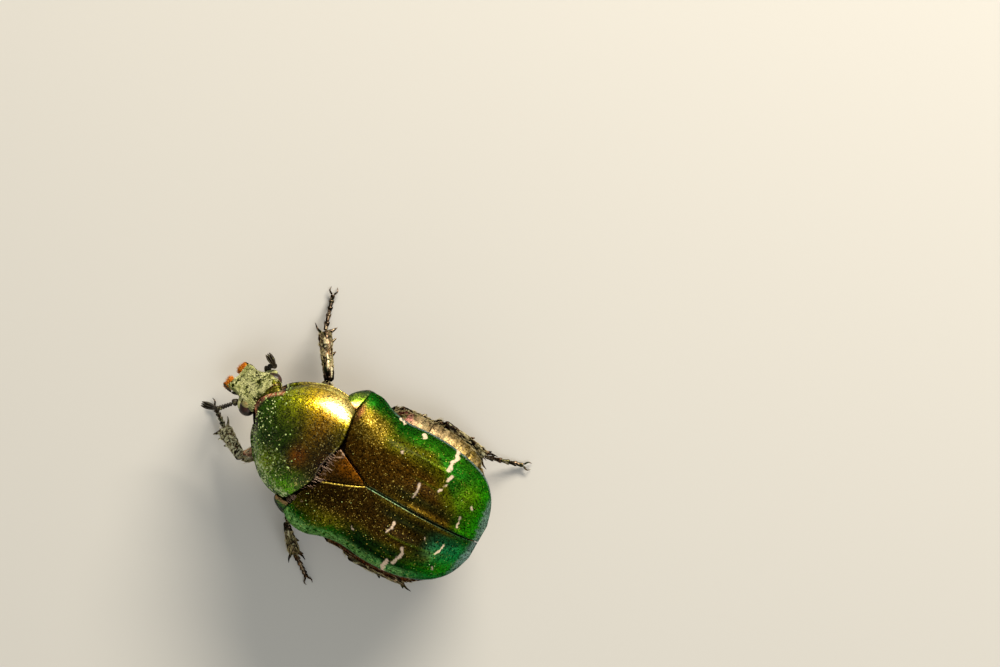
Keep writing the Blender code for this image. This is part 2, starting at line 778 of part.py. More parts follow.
def main():
    clear_scene()
    materials = {
        "shell": finish_of("elytra_green", (0.07, 0.2, 0.03), 0.28, 0.8),
        "pronotum": finish_of("pronotum_gold_green", (0.16, 0.22, 0.02), 0.28, 0.8),
        "scutellum": finish_of("scutellum_bronze", (0.3, 0.13, 0.03), 0.3, 0.8),
        "underside": finish_of("underside_copper", (0.3, 0.16, 0.09), 0.4, 0.6),
        "head": finish_of("head_green_pollen", (0.35, 0.38, 0.18), 0.6, 0.2),
        "eye": finish_of("eye_dark", (0.03, 0.015, 0.01), 0.2, 0.0),
        "leg": finish_of("leg_dark_copper", (0.1, 0.06, 0.03), 0.4, 0.5),
        "antenna": finish_of("antenna_dark", (0.03, 0.02, 0.015), 0.4, 0.0),
        "maxilla": finish_of("maxilla_orange", (0.7, 0.25, 0.03), 0.7, 0.0),
    }
    build_body(materials)
    for name, side in (("antenna_left", 1), ("antenna_right", -1)):
        build_antenna(name, side, materials["antenna"])
    for name, side in (("maxilla_left", 1), ("maxilla_right", -1)):
        build_maxilla(name, side, materials["maxilla"])
    for leg, place in leg_places.items():
        build_leg(leg, place, materials["leg"])
    centre_on_floor()


main()
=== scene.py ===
import math
import random

import bmesh
import bpy
from mathutils import Matrix, Vector, noise


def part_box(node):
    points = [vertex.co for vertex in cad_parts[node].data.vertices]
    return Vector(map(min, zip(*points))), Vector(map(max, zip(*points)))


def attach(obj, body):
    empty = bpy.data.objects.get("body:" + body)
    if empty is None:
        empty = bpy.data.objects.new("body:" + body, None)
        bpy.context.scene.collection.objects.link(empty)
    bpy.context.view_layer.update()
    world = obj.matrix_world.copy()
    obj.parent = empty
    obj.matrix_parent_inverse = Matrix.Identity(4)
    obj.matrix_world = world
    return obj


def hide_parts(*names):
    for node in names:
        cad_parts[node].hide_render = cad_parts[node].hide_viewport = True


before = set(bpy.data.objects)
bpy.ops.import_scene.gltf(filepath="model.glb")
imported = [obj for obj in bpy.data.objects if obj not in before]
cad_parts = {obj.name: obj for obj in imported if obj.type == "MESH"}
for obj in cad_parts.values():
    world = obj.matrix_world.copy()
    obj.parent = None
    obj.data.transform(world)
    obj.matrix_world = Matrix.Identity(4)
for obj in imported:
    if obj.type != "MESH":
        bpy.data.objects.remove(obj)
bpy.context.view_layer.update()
print("frame loaded")

# Body places are in millimetres: the head faces -Y, the beetle's left is +X.
# The scutellum's box ties them to the frame.
mm = 0.001
fullTurn = 2 * math.pi
upward = Vector((0, 0, 1))
scutellumLow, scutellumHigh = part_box("scutellum")
scutellumTipPlace = 2.73
frameShift = Vector((
    (scutellumLow.x + scutellumHigh.x) / 2,
    scutellumHigh.y - scutellumTipPlace * mm,
    0.0,
))


def inFrame(point):
    return Vector(point) * mm + frameShift


# Small tools

knownColours = {}


def linear(hexColour):
    # sRGB hex to the linear values that a shader wants
    if hexColour not in knownColours:
        channels = [int(hexColour[i:i + 2], 16) / 255 for i in (1, 3, 5)]
        knownColours[hexColour] = [
            c / 12.92 if c <= 0.04045 else ((c + 0.055) / 1.055) ** 2.4 for c in channels
        ]
    return knownColours[hexColour]


def tinted(colour, *layers):
    # lays (colour, share) layers over a colour; each colour is sRGB hex or already linear
    mixed = linear(colour) if isinstance(colour, str) else colour
    for top, share in layers:
        top = linear(top) if isinstance(top, str) else top
        mixed = [low + (high - low) * share for low, high in zip(mixed, top)]
    return mixed


def clamp(value):
    return max(0.0, min(1.0, value))


def smoothStep(low, high, value):
    t = clamp((value - low) / (high - low))
    return t * t * (3 - 2 * t)


def between(start, full, fade, end, value):
    # rises from start to full and falls from fade to end
    return smoothStep(start, full, value) * (1 - smoothStep(fade, end, value))


def bell(value, middle, reach, power=2):
    return math.exp(-((value - middle) / reach) ** power)


def spot(x, y, place, reach, power=2):
    return math.exp(-((x - place[0]) / reach[0]) ** power - ((y - place[1]) / reach[1]) ** power)


def rollOff(distance, reach, depth):
    # how far a shell's edge rolls down at a distance from it
    return depth * max(0.0, 1 - distance / reach) ** 2


def signedPower(value, power):
    return math.copysign(abs(value) ** power, value)


def noiseAt(x, y, z):
    return noise.noise(Vector((x, y, z)))


def through(knots, place):
    # smooth curve through (place, value) knots, flat beyond the ends
    if place <= knots[0][0]:
        return knots[0][1]
    for index in range(len(knots) - 1):
        (start, low), (end, high) = knots[index], knots[index + 1]
        if place <= end:
            before = knots[max(index - 1, 0)]
            after = knots[min(index + 2, len(knots) - 1)]
            span = end - start
            slopeIn = (high - before[1]) / (end - before[0]) * span
            slopeOut = (after[1] - low) / (after[0] - start) * span
            t = (place - start) / span
            return (
                low * (2 * t**3 - 3 * t**2 + 1)
                + slopeIn * (t**3 - 2 * t**2 + t)
                + high * (3 * t**2 - 2 * t**3)
                + slopeOut * (t**3 - t**2)
            )
    return knots[-1][1]


def scaled(knots, size):
    return [(place, value * size) for place, value in knots]


def endDome(share, reach):
    # rounds off both ends of a closed surface
    end = min(share, 1 - share)
    return math.sqrt(max(0.0, 1 - (1 - end / reach) ** 2)) if end < reach else 1.0


def pitDepthAt(point, spacing, depth):
    # shallow punctures, one in each cell of a loose net
    near = noise.voronoi(point / spacing)[0][0]
    return depth * (1 - smoothStep(0.1, 0.45, near))


def finishPiece(name, bm, material, node, slotName, paintAt=None, wall=None):
    # turns body millimetres into the frame, paints the vertices and hangs the piece on the body
    if paintAt:
        layer = bm.verts.layers.float_color.new("paint")
        extra = bm.verts.layers.float_color.new("cover")
        for vert in bm.verts:
            colour, cover = paintAt(vert.co)
            vert[layer] = (*colour, 1.0)
            vert[extra] = (*cover, 1.0)
    for vert in bm.verts:
        vert.co = inFrame(vert.co)
    mesh = bpy.data.meshes.new(name)
    bm.to_mesh(mesh)
    bm.free()
    piece = hangMesh(name, mesh, material, slotName)
    if node:
        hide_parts(node)
    if wall:
        solid = piece.modifiers.new("wall", "SOLIDIFY")
        solid.thickness = wall * mm
        solid.offset = -1.0


def hangMesh(name, mesh, material, slotName):
    mesh.materials.append(material)
    mesh.shade_smooth()
    piece = bpy.data.objects.new(name, mesh)
    bpy.context.scene.collection.objects.link(piece)
    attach(piece, "root")
    return piece


def gridSurface(bm, columns, rows, surfaceAt):
    # a grid bent over surfaceAt(u, v), both from 0 to 1, with its faces upwards
    made = bmesh.ops.create_grid(bm, x_segments=columns, y_segments=rows, size=1.0)["verts"]
    for vert in made:
        vert.co = surfaceAt((vert.co.x + 1) / 2, (vert.co.y + 1) / 2)
    faces = list({face for vert in made for face in vert.link_faces})
    for face in faces:
        face.normal_update()
    if sum(face.normal.z for face in faces) < 0:
        bmesh.ops.reverse_faces(bm, faces=faces)


def roundSurface(bm, segments, rings, surfaceAt):
    # a sphere whose poles lie at the ends of surfaceAt(turn, share); turn runs round, share along
    made = bmesh.ops.create_uvsphere(bm, u_segments=segments, v_segments=rings, radius=1.0)["verts"]
    for vert in made:
        share = math.acos(max(-1.0, min(1.0, -vert.co.z))) / math.pi
        turn = math.atan2(vert.co.y, vert.co.x)
        vert.co = surfaceAt(turn, share)
    faces = list({face for vert in made for face in vert.link_faces})
    volume = 0.0
    for face in faces:
        corners = [vert.co for vert in face.verts]
        for index in range(1, len(corners) - 1):
            volume += corners[0].dot(corners[index].cross(corners[index + 1]))
    if volume < 0:
        bmesh.ops.reverse_faces(bm, faces=faces)


def tubeAt(path, radii, flatten=1.0, up=upward, cap=0.06, rough=0.0, seed=0.0):
    # surface of a domed tube along a path: radii are (share, radius) knots
    points = [Vector(point) for point in path]
    reach = [0.0]
    for near, far in zip(points, points[1:]):
        reach.append(reach[-1] + (far - near).length)
    total = reach[-1]
    tracks = [[(reach[i] / total, points[i][axis]) for i in range(len(points))] for axis in range(3)]
    known = {}

    def centre(share):
        return Vector([through(track, share) for track in tracks])

    def ringAt(share):
        if share not in known:
            along = (centre(min(1.0, share + 0.01)) - centre(max(0.0, share - 0.01))).normalized()
            across = along.cross(up).normalized()
            radius = through(radii, share) * endDome(share, cap)
            known[share] = centre(share), across, across.cross(along), radius
        return known[share]

    def surfaceAt(turn, share):
        middle, across, normal, radius = ringAt(share)
        c, s = math.cos(turn), math.sin(turn)
        if rough:
            radius *= 1 + rough * noiseAt(c, s, share * total * 4.0 + seed)
        return middle + across * c * radius + normal * s * radius * flatten

    return surfaceAt


# Materials

def addNode(tree, kind, settings=None, links=None, output=0):
    # adds one node with its settings, its input values and its links, and gives one of its outputs
    node = tree.nodes.new(kind)
    for key, value in (settings or {}).items():
        if isinstance(key, str) and hasattr(node, key):
            setattr(node, key, value)
        else:
            node.inputs[key].default_value = value
    for key, socket in (links or {}).items():
        tree.links.new(socket, node.inputs[key])
    return node.outputs[output]


def opaque(hexColour):
    return (*linear(hexColour), 1.0)


def newMaterial(name):
    material = bpy.data.materials.new(name)
    material.use_nodes = True
    return material, material.node_tree


def wireShader(material, links, values):
    # links what varies over the surface; what is the same all over is set on the shader itself
    tree = material.node_tree
    inputs = tree.nodes["Principled BSDF"].inputs
    for key, socket in links.items():
        tree.links.new(socket, inputs[key])
    for key, value in values.items():
        inputs[key].default_value = value
    return material


def perMm(size):
    # texture scale for a pattern that repeats every size millimetres
    return 1 / (size * mm)


shellFinish = {
    "mottleSize": 0.5,
    "mottleShade": (0.5, 1.4),    # how dark and how light the broad mottling goes
    "cellSize": 0.07,             # fine punctures: dark and light cells
    "cellShade": (0.1, 1.95),
    # sparks are painted glints: bright cells in the base colour where light would catch the punctures
    "smallGlintSize": 0.085,           # small sparks
    "smallGlintCore": 0.38,
    "glintSize": 0.17,            # few and larger sparks
    "glintCore": 0.34,
    "glintShare": 1.5,
    "glint": "#eed262",
    "glintTint": 0.65,            # the rest of a spark is the shell's own colour, brighter
    "sparkBoost": 3.0,
    "pitDepth": 0.012,
    "roughness": 0.46,
    "coat": 0.02,
    "coatRoughness": 0.2,
    "marks": "#cbb5a0",
    "edge": "#3f6a34",
}


def addSparks(tree, place, size, density, core):
    # small bright cells painted as glints: few of them, each with its own strength
    cells = addNode(tree, "ShaderNodeTexVoronoi", {"Scale": perMm(size)}, {"Vector": place}, "Distance")
    chance = addNode(tree, "ShaderNodeSeparateColor", links={"Color": cells.node.outputs["Color"]})
    edge = addNode(tree, "ShaderNodeMath", {"operation": "SUBTRACT", 0: 1.0}, {1: density})
    over = addNode(tree, "ShaderNodeMapRange", {"From Max": 1.0}, {"Value": chance, "From Min": edge})
    disc = addNode(tree, "ShaderNodeMapRange", {
        "From Min": core * 0.6, "From Max": core * 1.2, "To Min": 1.0, "To Max": 0.0,
    }, {"Value": cells})
    strength = addNode(tree, "ShaderNodeMath", {"operation": "POWER", 1: 1.4}, {0: over})
    return addNode(tree, "ShaderNodeMath", {"operation": "MULTIPLY"}, {0: strength, 1: disc})


def makeShellMaterial(name, **changes):
    # iridescent chitin: metal-like colour, dark punctures and gold sparks painted in as glints, dull where
    # dust or cream marks lie
    finish = {**shellFinish, **changes}
    material, tree = newMaterial(name)
    place = addNode(tree, "ShaderNodeTexCoord", output="Object")
    paint = addNode(tree, "ShaderNodeAttribute", {"attribute_name": "paint"}, output="Color")
    cover = addNode(tree, "ShaderNodeAttribute", {"attribute_name": "cover"}, output="Color")
    dust = addNode(tree, "ShaderNodeSeparateColor", links={"Color": cover})
    sparkle = dust.node.outputs[1]
    # broad mottling and fine punctures
    mottle = addNode(tree, "ShaderNodeTexNoise", {
        "Scale": perMm(finish["mottleSize"]), "Detail": 6.0, "Roughness": 0.75,
    }, {"Vector": place}, "Fac")
    darkest, lightest = finish["mottleShade"]
    broadShade = addNode(tree, "ShaderNodeMapRange", {
        "From Min": 0.3, "From Max": 0.7, "To Min": darkest, "To Max": lightest,
    }, {"Value": mottle})
    cells = addNode(tree, "ShaderNodeTexVoronoi", {
        "Scale": perMm(finish["cellSize"]),
    }, {"Vector": place}, "Distance")
    cellColour = cells.node.outputs["Color"]
    cellRandom = addNode(tree, "ShaderNodeSeparateColor", links={"Color": cellColour}, output=1)
    darkest, lightest = finish["cellShade"]
    cellShade = addNode(tree, "ShaderNodeMapRange", {
        "To Min": darkest, "To Max": lightest,
    }, {"Value": cellRandom})
    bothShades = addNode(tree, "ShaderNodeMath", {"operation": "MULTIPLY"}, {0: broadShade, 1: cellShade})
    shaded = addNode(tree, "ShaderNodeVectorMath", {"operation": "SCALE"}, {0: paint, "Scale": bothShades})
    # sparks: painted glints, bright cells mixed into the base colour
    squared = addNode(tree, "ShaderNodeMath", {"operation": "POWER", 1: 2.0}, {0: sparkle})
    rare = addNode(tree, "ShaderNodeMath", {"operation": "MULTIPLY", 1: finish["glintShare"]}, {0: squared})
    smallGlints = addSparks(tree, place, finish["smallGlintSize"], sparkle, finish["smallGlintCore"])
    glints = addSparks(tree, place, finish["glintSize"], rare, finish["glintCore"])
    spark = addNode(tree, "ShaderNodeMath", {"operation": "MAXIMUM"}, {0: smallGlints, 1: glints})
    brightPaint = addNode(tree, "ShaderNodeVectorMath", {
        "operation": "SCALE", "Scale": finish["sparkBoost"],
    }, {0: paint})
    sparkTint = addNode(tree, "ShaderNodeMix", {
        "data_type": "RGBA", 0: finish["glintTint"], 7: opaque(finish["glint"]),
    }, {6: brightPaint}, 2)
    glowing = addNode(tree, "ShaderNodeMix", {"data_type": "RGBA"}, {0: spark, 6: shaded, 7: sparkTint}, 2)
    # dust and cream marks
    markGrain = addNode(tree, "ShaderNodeMapRange", {"To Min": 0.75, "To Max": 1.1}, {"Value": cellRandom})
    markTint = addNode(tree, "ShaderNodeVectorMath", {
        "operation": "SCALE", 0: linear(finish["marks"]),
    }, {"Scale": markGrain})
    dusted = addNode(tree, "ShaderNodeMix", {"data_type": "RGBA"}, {0: dust, 6: glowing, 7: markTint}, 2)
    metal = addNode(tree, "ShaderNodeMapRange", {
        "From Min": 0.1, "From Max": 0.7, "To Min": 1.0, "To Max": 0.0,
    }, {"Value": dust})
    gloss = addNode(tree, "ShaderNodeMapRange", {
        "To Min": finish["roughness"] - 0.08, "To Max": finish["roughness"] + 0.1,
    }, {"Value": mottle})
    rough = addNode(tree, "ShaderNodeMath", {"operation": "MULTIPLY_ADD", 1: 0.4}, {0: dust, 2: gloss})
    bump = addNode(tree, "ShaderNodeBump", {
        "Strength": 0.35, "Distance": finish["pitDepth"] * mm,
    }, {"Height": cells})
    return wireShader(material, {
        "Base Color": dusted, "Metallic": metal, "Roughness": rough, "Normal": bump,
    }, {
        "Specular Tint": opaque(finish["edge"]),
        "Coat Weight": finish["coat"],
        "Coat Roughness": finish["coatRoughness"],
    })


def twoTones(tree, place, size, first, second, settings, low=0.38, high=0.62):
    # two close colours in soft patches, and the noise that parts them
    tone = addNode(tree, "ShaderNodeTexNoise", {"Scale": perMm(size), **settings}, {"Vector": place}, "Fac")
    share = addNode(tree, "ShaderNodeMapRange", {"From Min": low, "From Max": high}, {"Value": tone})
    colour = addNode(tree, "ShaderNodeMix", {
        "data_type": "RGBA", 6: opaque(first), 7: opaque(second),
    }, {0: share}, 2)
    return colour, tone


def makeAntennaMaterial():
    # satin brown chitin of feelers and palps, with a trace of pale dust in its hollows
    material, tree = newMaterial("antennaChitin")
    place = addNode(tree, "ShaderNodeTexCoord", output="Object")
    colour, broad = twoTones(tree, place, 0.7, "#0e0a05", "#2c2416", {"Detail": 4.0, "Roughness": 0.65})
    fine = addNode(tree, "ShaderNodeTexNoise", {
        "Scale": perMm(0.16), "Detail": 4.0, "Roughness": 0.75,
    }, {"Vector": place}, "Fac")
    mask = addNode(tree, "ShaderNodeMapRange", {"From Min": 0.6, "From Max": 0.68}, {"Value": fine})
    dusted = addNode(tree, "ShaderNodeMix", {
        "data_type": "RGBA", 7: opaque("#8a8a58"),
    }, {0: mask, 6: colour}, 2)
    metal = addNode(tree, "ShaderNodeMapRange", {"To Min": 0.1, "To Max": 0.0}, {"Value": mask})
    rough = addNode(tree, "ShaderNodeMapRange", {"To Min": 0.35, "To Max": 0.6}, {"Value": broad})
    pits = addNode(tree, "ShaderNodeTexVoronoi", {"Scale": perMm(0.08)}, {"Vector": place}, "Distance")
    bump = addNode(tree, "ShaderNodeBump", {"Strength": 0.5, "Distance": 0.012 * mm}, {"Height": pits})
    return wireShader(material, {
        "Base Color": dusted, "Metallic": metal, "Roughness": rough, "Normal": bump,
    }, {"Specular IOR Level": 0.25})


def makeEyeMaterial():
    # compound eye: dark brown field of fine round facets with a wet gloss
    material, tree = newMaterial("eyeFacets")
    place = addNode(tree, "ShaderNodeTexCoord", output="Object")
    facets = addNode(tree, "ShaderNodeTexVoronoi", {
        "Scale": perMm(0.045), "Randomness": 0.25,
    }, {"Vector": place}, "Distance")
    colour, _ = twoTones(tree, place, 0.4, "#0b0502", "#38201a", {"Detail": 2.0}, 0.45, 0.7)
    bump = addNode(tree, "ShaderNodeBump", {
        "Strength": 0.6, "Distance": 0.01 * mm, "invert": True,
    }, {"Height": facets})
    return wireShader(material, {"Base Color": colour, "Normal": bump}, {
        "Roughness": 0.34, "Specular IOR Level": 0.3,
    })


def makeSoftMaterial(name, base, second, roughness, size):
    # dull pale stuff: hair, pollen or brush fibres, with two close tones
    material, tree = newMaterial(name)
    place = addNode(tree, "ShaderNodeTexCoord", output="Object")
    colour, _ = twoTones(tree, place, size, base, second, {"Detail": 3.0})
    grain = addNode(tree, "ShaderNodeTexNoise", {
        "Scale": perMm(0.03), "Detail": 2.0,
    }, {"Vector": place}, "Fac")
    bump = addNode(tree, "ShaderNodeBump", {"Strength": 0.4, "Distance": 0.01 * mm}, {"Height": grain})
    return wireShader(material, {"Base Color": colour, "Normal": bump}, {
        "Roughness": roughness, "Specular IOR Level": 0.2,
    })


# wing cases: satin metal with cream marks
wingCaseMaterial = makeShellMaterial("wingCaseChitin")
# pronotum: smoother and glossier, under a clear skin that mirrors the lamps, with pale green dust
pronotumMaterial = makeShellMaterial(
    "pronotumChitin", roughness=0.3, coat=0.32, coatRoughness=0.12, marks="#c0d298", glint="#f0e08a",
    edge="#6a6a1c",
)
# scutellum: bronze, with a bloom of grey-pink dust at its base
scutellumMaterial = makeShellMaterial("scutellumChitin", roughness=0.34, marks="#a08670", edge="#6a5a2c")
# legs: dark copper under pale streaks of dust
legMaterial = makeShellMaterial(
    "legChitin", mottleSize=0.3, roughness=0.36, marks="#e2e4bc", glint="#d8b49a", edge="#4a3c28",
)
# head: dull green under a felt of dust
headMaterial = makeShellMaterial(
    "headChitin", mottleSize=0.35, roughness=0.4, marks="#b4b684", edge="#55602c",
)
# underside: coppery, with tan dust on the flank
undersideMaterial = makeShellMaterial(
    "undersideChitin", roughness=0.4, marks="#b2a078", glint="#d8b890", edge="#6a5a38",
)
antennaMaterial = makeAntennaMaterial()
eyeMaterial = makeEyeMaterial()
# bristles of the mouth brushes: orange with yellow tips
brushMaterial = makeSoftMaterial("mouthBrush", "#b45a06", "#dc9018", 0.7, 0.15)
# pollen: dull pale green, clotted on the face and in round grains on the shells
pollenMaterial = makeSoftMaterial("pollenDust", "#c6c894", "#868c50", 0.9, 0.4)
grainMaterial = makeSoftMaterial("pollenGrains", "#c4cf94", "#8fae5c", 0.6, 0.8)
# hairs: pale straw on legs and flanks, grey-pink at the scutellum
hairMaterial = makeSoftMaterial("paleSetae", "#bdb182", "#7c7046", 0.6, 0.5)
pinkHairMaterial = makeSoftMaterial("greyPinkSetae", "#a38a76", "#6a5040", 0.6, 0.5)
print("materials ready")


# Hair and grains

def hairFan(root, direction, length, width, bend):
    # one tapered hair with three sides: root ring, a bent middle ring and the tip
    across = direction.orthogonal().normalized()
    aside = direction.cross(across)
    ring = []
    for height, size, sag in ((-0.05, 0.5, 0.0), (0.5, 0.36, 0.35)):
        middle = root + direction * (length * height) + bend * (length * sag)
        for corner in range(3):
            angle = fullTurn * corner / 3
            ring.append(middle + (across * math.cos(angle) + aside * math.sin(angle)) * width * size)
    ring.append(root + direction * length * 0.95 + bend * length)
    return ring


hairSides = [(k, (k + 1) % 3, 3 + (k + 1) % 3, 3 + k) for k in range(3)]
hairSides += [(3 + k, 3 + (k + 1) % 3, 6) for k in range(3)]
coatDefaults = {
    "turns": (0.0, fullTurn),
    "lie": 1.0,                      # how far hairs lean along the surface
    "sag": 0.15,
    "up": None,                      # outward direction of an open sheet
    "where": None,                   # chance of a hair at a place
    "tile": (0.0, 0.0, 1.0, 1.0),    # corner and size of the skin's own layout
}


def growHairs(stamps, rng, surfaceAt, **changes):
    # adds hairs over part of a surface that takes (turn, share), leaning along it
    coat = {**coatDefaults, **changes}
    left, low, wide, high = coat["tile"]
    for _ in range(coat["count"]):
        turn = rng.uniform(*coat["turns"])
        share = rng.uniform(*coat["shares"])
        root = surfaceAt(turn, share)
        if coat["where"] and rng.random() > coat["where"](root):
            continue
        side = surfaceAt(turn + 0.03, share) - root
        near, far = max(0.0, share - 0.01), min(1.0, share + 0.01)
        ahead = surfaceAt(turn, far) - surfaceAt(turn, near)
        normal = side.cross(ahead)
        if normal.length < 1e-9:
            continue
        normal.normalize()
        outward = coat["up"] or root - surfaceAt(turn + math.pi, share)
        if normal.dot(outward) < 0:
            normal.negate()
        ahead.normalize()
        lean = ahead * coat["lie"] + normal * rng.uniform(*coat["stand"])
        lean += Vector([rng.uniform(-1, 1) for _ in range(3)]) * coat["spread"]
        length = coat["length"] * rng.uniform(0.6, 1.25)
        width = coat["width"] * rng.uniform(0.7, 1.2)
        patch = (left + wide * ((turn / fullTurn) % 1.0), low + high * share)
        stamps.append((hairFan(root, lean.normalized(), length, width, normal * -coat["sag"]), patch))


def joinStamps(name, stamps, sides, step, perRow, material, slotName):
    # joins many copies of a small shape; each keeps a small patch of the skin's layout
    vertices, faces, corners = [], [], []
    for points, (left, low) in stamps:
        first = len(vertices)
        vertices.extend(inFrame(point) for point in points)
        for side in sides:
            faces.append([first + index for index in side])
            corners.extend((left + step * (index % perRow), low + step * (index // perRow)) for index in side)
    mesh = bpy.data.meshes.new(name)
    mesh.from_pydata(vertices, [], faces)
    layer = mesh.uv_layers.new(name="OFBake")
    layer.data.foreach_set("uv", [value for corner in corners for value in corner])
    mesh.update()
    hangMesh(name, mesh, material, slotName)


def finishCoat(name, stamps, material, slotName):
    joinStamps(name, stamps, hairSides, 0.0015, 3, material, slotName)


# Elytra

elytra = {
    "bodyWidth": 9.5,
    "notchWidth": 8.6,
    "front": -0.16,
    "slant": -0.14,           # front edges follow the base of the turned pronotum
    "shoulderReach": 0.24,    # how far the right shoulder stands forward of that slant
    "apex": 10.62,
    "ridge": 7.35,
    "margin": 4.0,
    "scutellumBase": 0.3,
    "scutellumTip": 2.85,
    "scutellumWidth": 2.3,
    "shoulderBulge": 0.2,     # the right shoulder, which the beetle lifts, stands out further
    "rearBulge": 0.16,
    "seam": 0.02,             # half the visible gap along the suture
    "scutellumGap": {1: 0.03, -1: 0.12},
    "thickness": 0.28,
    "columns": 140,
    "rows": 250,
    "beadRise": 0.05,
    "ribPlaces": (1.9, 3.1),  # across the wing case at the notch
    "ribRise": 0.035,
    "pitRise": 0.012,
}


def elytraHalfWidth(y, side=1):
    shoulder = elytra["bodyWidth"] / 2
    notch = elytra["notchWidth"] / 2
    knots = (
        (-1.0, shoulder * 0.88), (-0.2, shoulder * 0.975), (1.0, shoulder), (2.1, notch * 1.035),
        (3.2, notch), (4.8, notch * 1.03), (6.4, notch * 1.02), (7.8, notch * 0.955),
        (9.0, notch * 0.83), (9.8, notch * 0.67), (10.3, notch * 0.49), (elytra["apex"], notch * 0.26),
    )
    half = through(knots, y)
    if side < 0:
        half += elytra["shoulderBulge"] * bell(y, 0.5, 1.1) + elytra["rearBulge"] * bell(y, 9.2, 1.3)
    return half


def ribPlace(place, half):
    return place * half / (elytra["notchWidth"] / 2)


def elytraRidge(y):
    frontFall = 0.5 * max(0.0, (2.6 - y) / 2.6) ** 2
    rearFall = 2.95 * max(0.0, (y - 3.6) / (elytra["apex"] - 3.6)) ** 2.5
    return elytra["ridge"] - frontFall - rearFall - 0.5 * smoothStep(9.6, elytra["apex"], y)


def elytraMargin(y):
    return elytra["margin"] + 0.75 * bell(y, 0.2, 1.2) - 0.25 * max(0.0, (y - 6.0) / 4.6) ** 2


def dome(x, y):
    low = elytraMargin(y)
    side = abs(x)
    share = min(1.0, side / elytraHalfWidth(y, x))
    height = low + (elytraRidge(y) - low) * (1 - share**3.5) ** 0.52
    height += 0.26 * spot(side, y, (3.3, 1.25), (0.8, 0.95))
    height += 0.28 * spot(side, y, (2.1, 9.0), (0.8, 0.7))
    height += 0.15 * between(4.5, 7.0, 9.7, 10.5, y) * spot(side, y, (0.16, 8.0), (0.16, 9.0))
    return height - 0.2 * spot(side, y, (0.85, 7.4), (0.42, 2.9)) * (1 - smoothStep(9.2, 10.4, y))


def scutellumHalfWidth(y):
    reach = elytra["scutellumTip"] - elytra["scutellumBase"]
    share = clamp((y - elytra["scutellumBase"]) / reach)
    return elytra["scutellumWidth"] / 2 * (1 - share) ** 0.9


def elytraInnerEdge(y, side):
    pastTip = max(0.0, y - elytra["scutellumTip"])
    return max(elytra["seam"], scutellumHalfWidth(y) + elytra["scutellumGap"][side] * (1 - pastTip / 0.25))


def elytraFrontEdge(side, share):
    x = elytra["scutellumWidth"] / 2 + share * (elytra["bodyWidth"] - elytra["scutellumWidth"]) / 2
    forward = smoothStep(0.4, 0.66, share) if side < 0 else 0.0
    inner = 0.7 * max(0.0, 1 - share / 0.42) ** 1.5
    return elytra["front"] + inner + elytra["slant"] * side * x - elytra["shoulderReach"] * forward


def elytronSurface(side):
    def surfaceAt(u, v):
        share = math.sin(math.pi / 2 * u)
        t = 1 - (1 - v) ** 1.15
        front = elytraFrontEdge(side, share)
        y = front + (elytra["apex"] - front) * t
        edge = elytraInnerEdge(y, side)
        half = elytraHalfWidth(y, side)
        x = edge + (half - edge) * share
        z = dome(side * x, y)
        rear = between(3.5, 5.5, 7.8, 9.2, y)
        for place in elytra["ribPlaces"]:
            z += elytra["ribRise"] * rear * bell(x, ribPlace(place, half), 0.16)
        z -= rollOff(t, 0.014, 0.1) + rollOff(u, 0.018, 0.08)
        bead = elytra["beadRise"] * bell(1 - u, 0.0, 0.028)
        bead *= smoothStep(0.0, 0.1, t) * smoothStep(1.0, 0.93, t)
        x += bead
        z += bead * 0.5
        pits = (1 - smoothStep(0.97, 1.0, u)) * (1 - smoothStep(0.95, 0.98, t))
        z -= pitDepthAt(Vector((side * x, y, z)), 0.16, elytra["pitRise"]) * pits
        return Vector((side * x, y, z))
    return surfaceAt


# Cream marks on the wing cases: strokes of (x, y) places with a half width each, in millimetres
creamMarks = (
    (((-4.33, 2.6), (-4.25, 3.1)), 0.06),
    (((-4.26, 4.44), (-4.2, 4.56)), 0.13),
    (((-2.9, 3.75), (-2.78, 3.85)), 0.08),
    (((-4.3, 6.75), (-4.05, 6.95), (-3.75, 6.78), (-3.28, 6.85)), 0.14),
    (((-3.02, 7.16), (-2.75, 7.12)), 0.14),
    (((-2.45, 7.12), (-2.14, 7.05), (-1.9, 6.93)), 0.08),
    (((-1.75, 5.68), (-1.4, 5.76), (-0.9, 5.74)), 0.11),
    (((-1.95, 9.18), (-1.83, 9.26)), 0.1),
    (((-1.05, 8.86), (-0.75, 8.95), (-0.4, 8.97)), 0.07),
    (((2.66, 3.36), (2.76, 3.46)), 0.09),
    (((1.13, 5.5), (1.45, 5.55), (1.84, 5.38)), 0.1),
    (((2.28, 6.72), (2.75, 6.92), (3.1, 6.74), (3.45, 6.66)), 0.12),
    (((3.5, 6.3), (3.95, 6.2), (4.45, 6.38)), 0.16),
    (((1.0, 8.86), (1.38, 8.8), (1.7, 8.64)), 0.06),
    (((1.05, 7.6), (1.16, 7.68)), 0.06),
    (((2.5, 8.9), (2.6, 9.0)), 0.09),
)
markReach = (2.0, 1.2)    # no mark is longer than this from its first place


def strokeDistance(x, y, points):
    nearest = math.inf
    for (startX, startY), (endX, endY) in zip(points, points[1:]):
        spanX, spanY = endX - startX, endY - startY
        t = clamp(((x - startX) * spanX + (y - startY) * spanY) / (spanX**2 + spanY**2))
        nearest = min(nearest, math.hypot(x - startX - spanX * t, y - startY - spanY * t))
    return nearest


def creamShare(x, y):
    wobble = 0.09 * noiseAt(x * 6.0, y * 6.0, 1.3) + 0.05 * noiseAt(x * 15.0, y * 15.0, 4.0)
    best = 0.0
    for points, width in creamMarks:
        startX, startY = points[0]
        if abs(x - startX) <= markReach[0] and abs(y - startY) <= markReach[1]:
            best = max(best, 1 - smoothStep(width - 0.06, width, strokeDistance(x, y, points) + wobble))
    return best


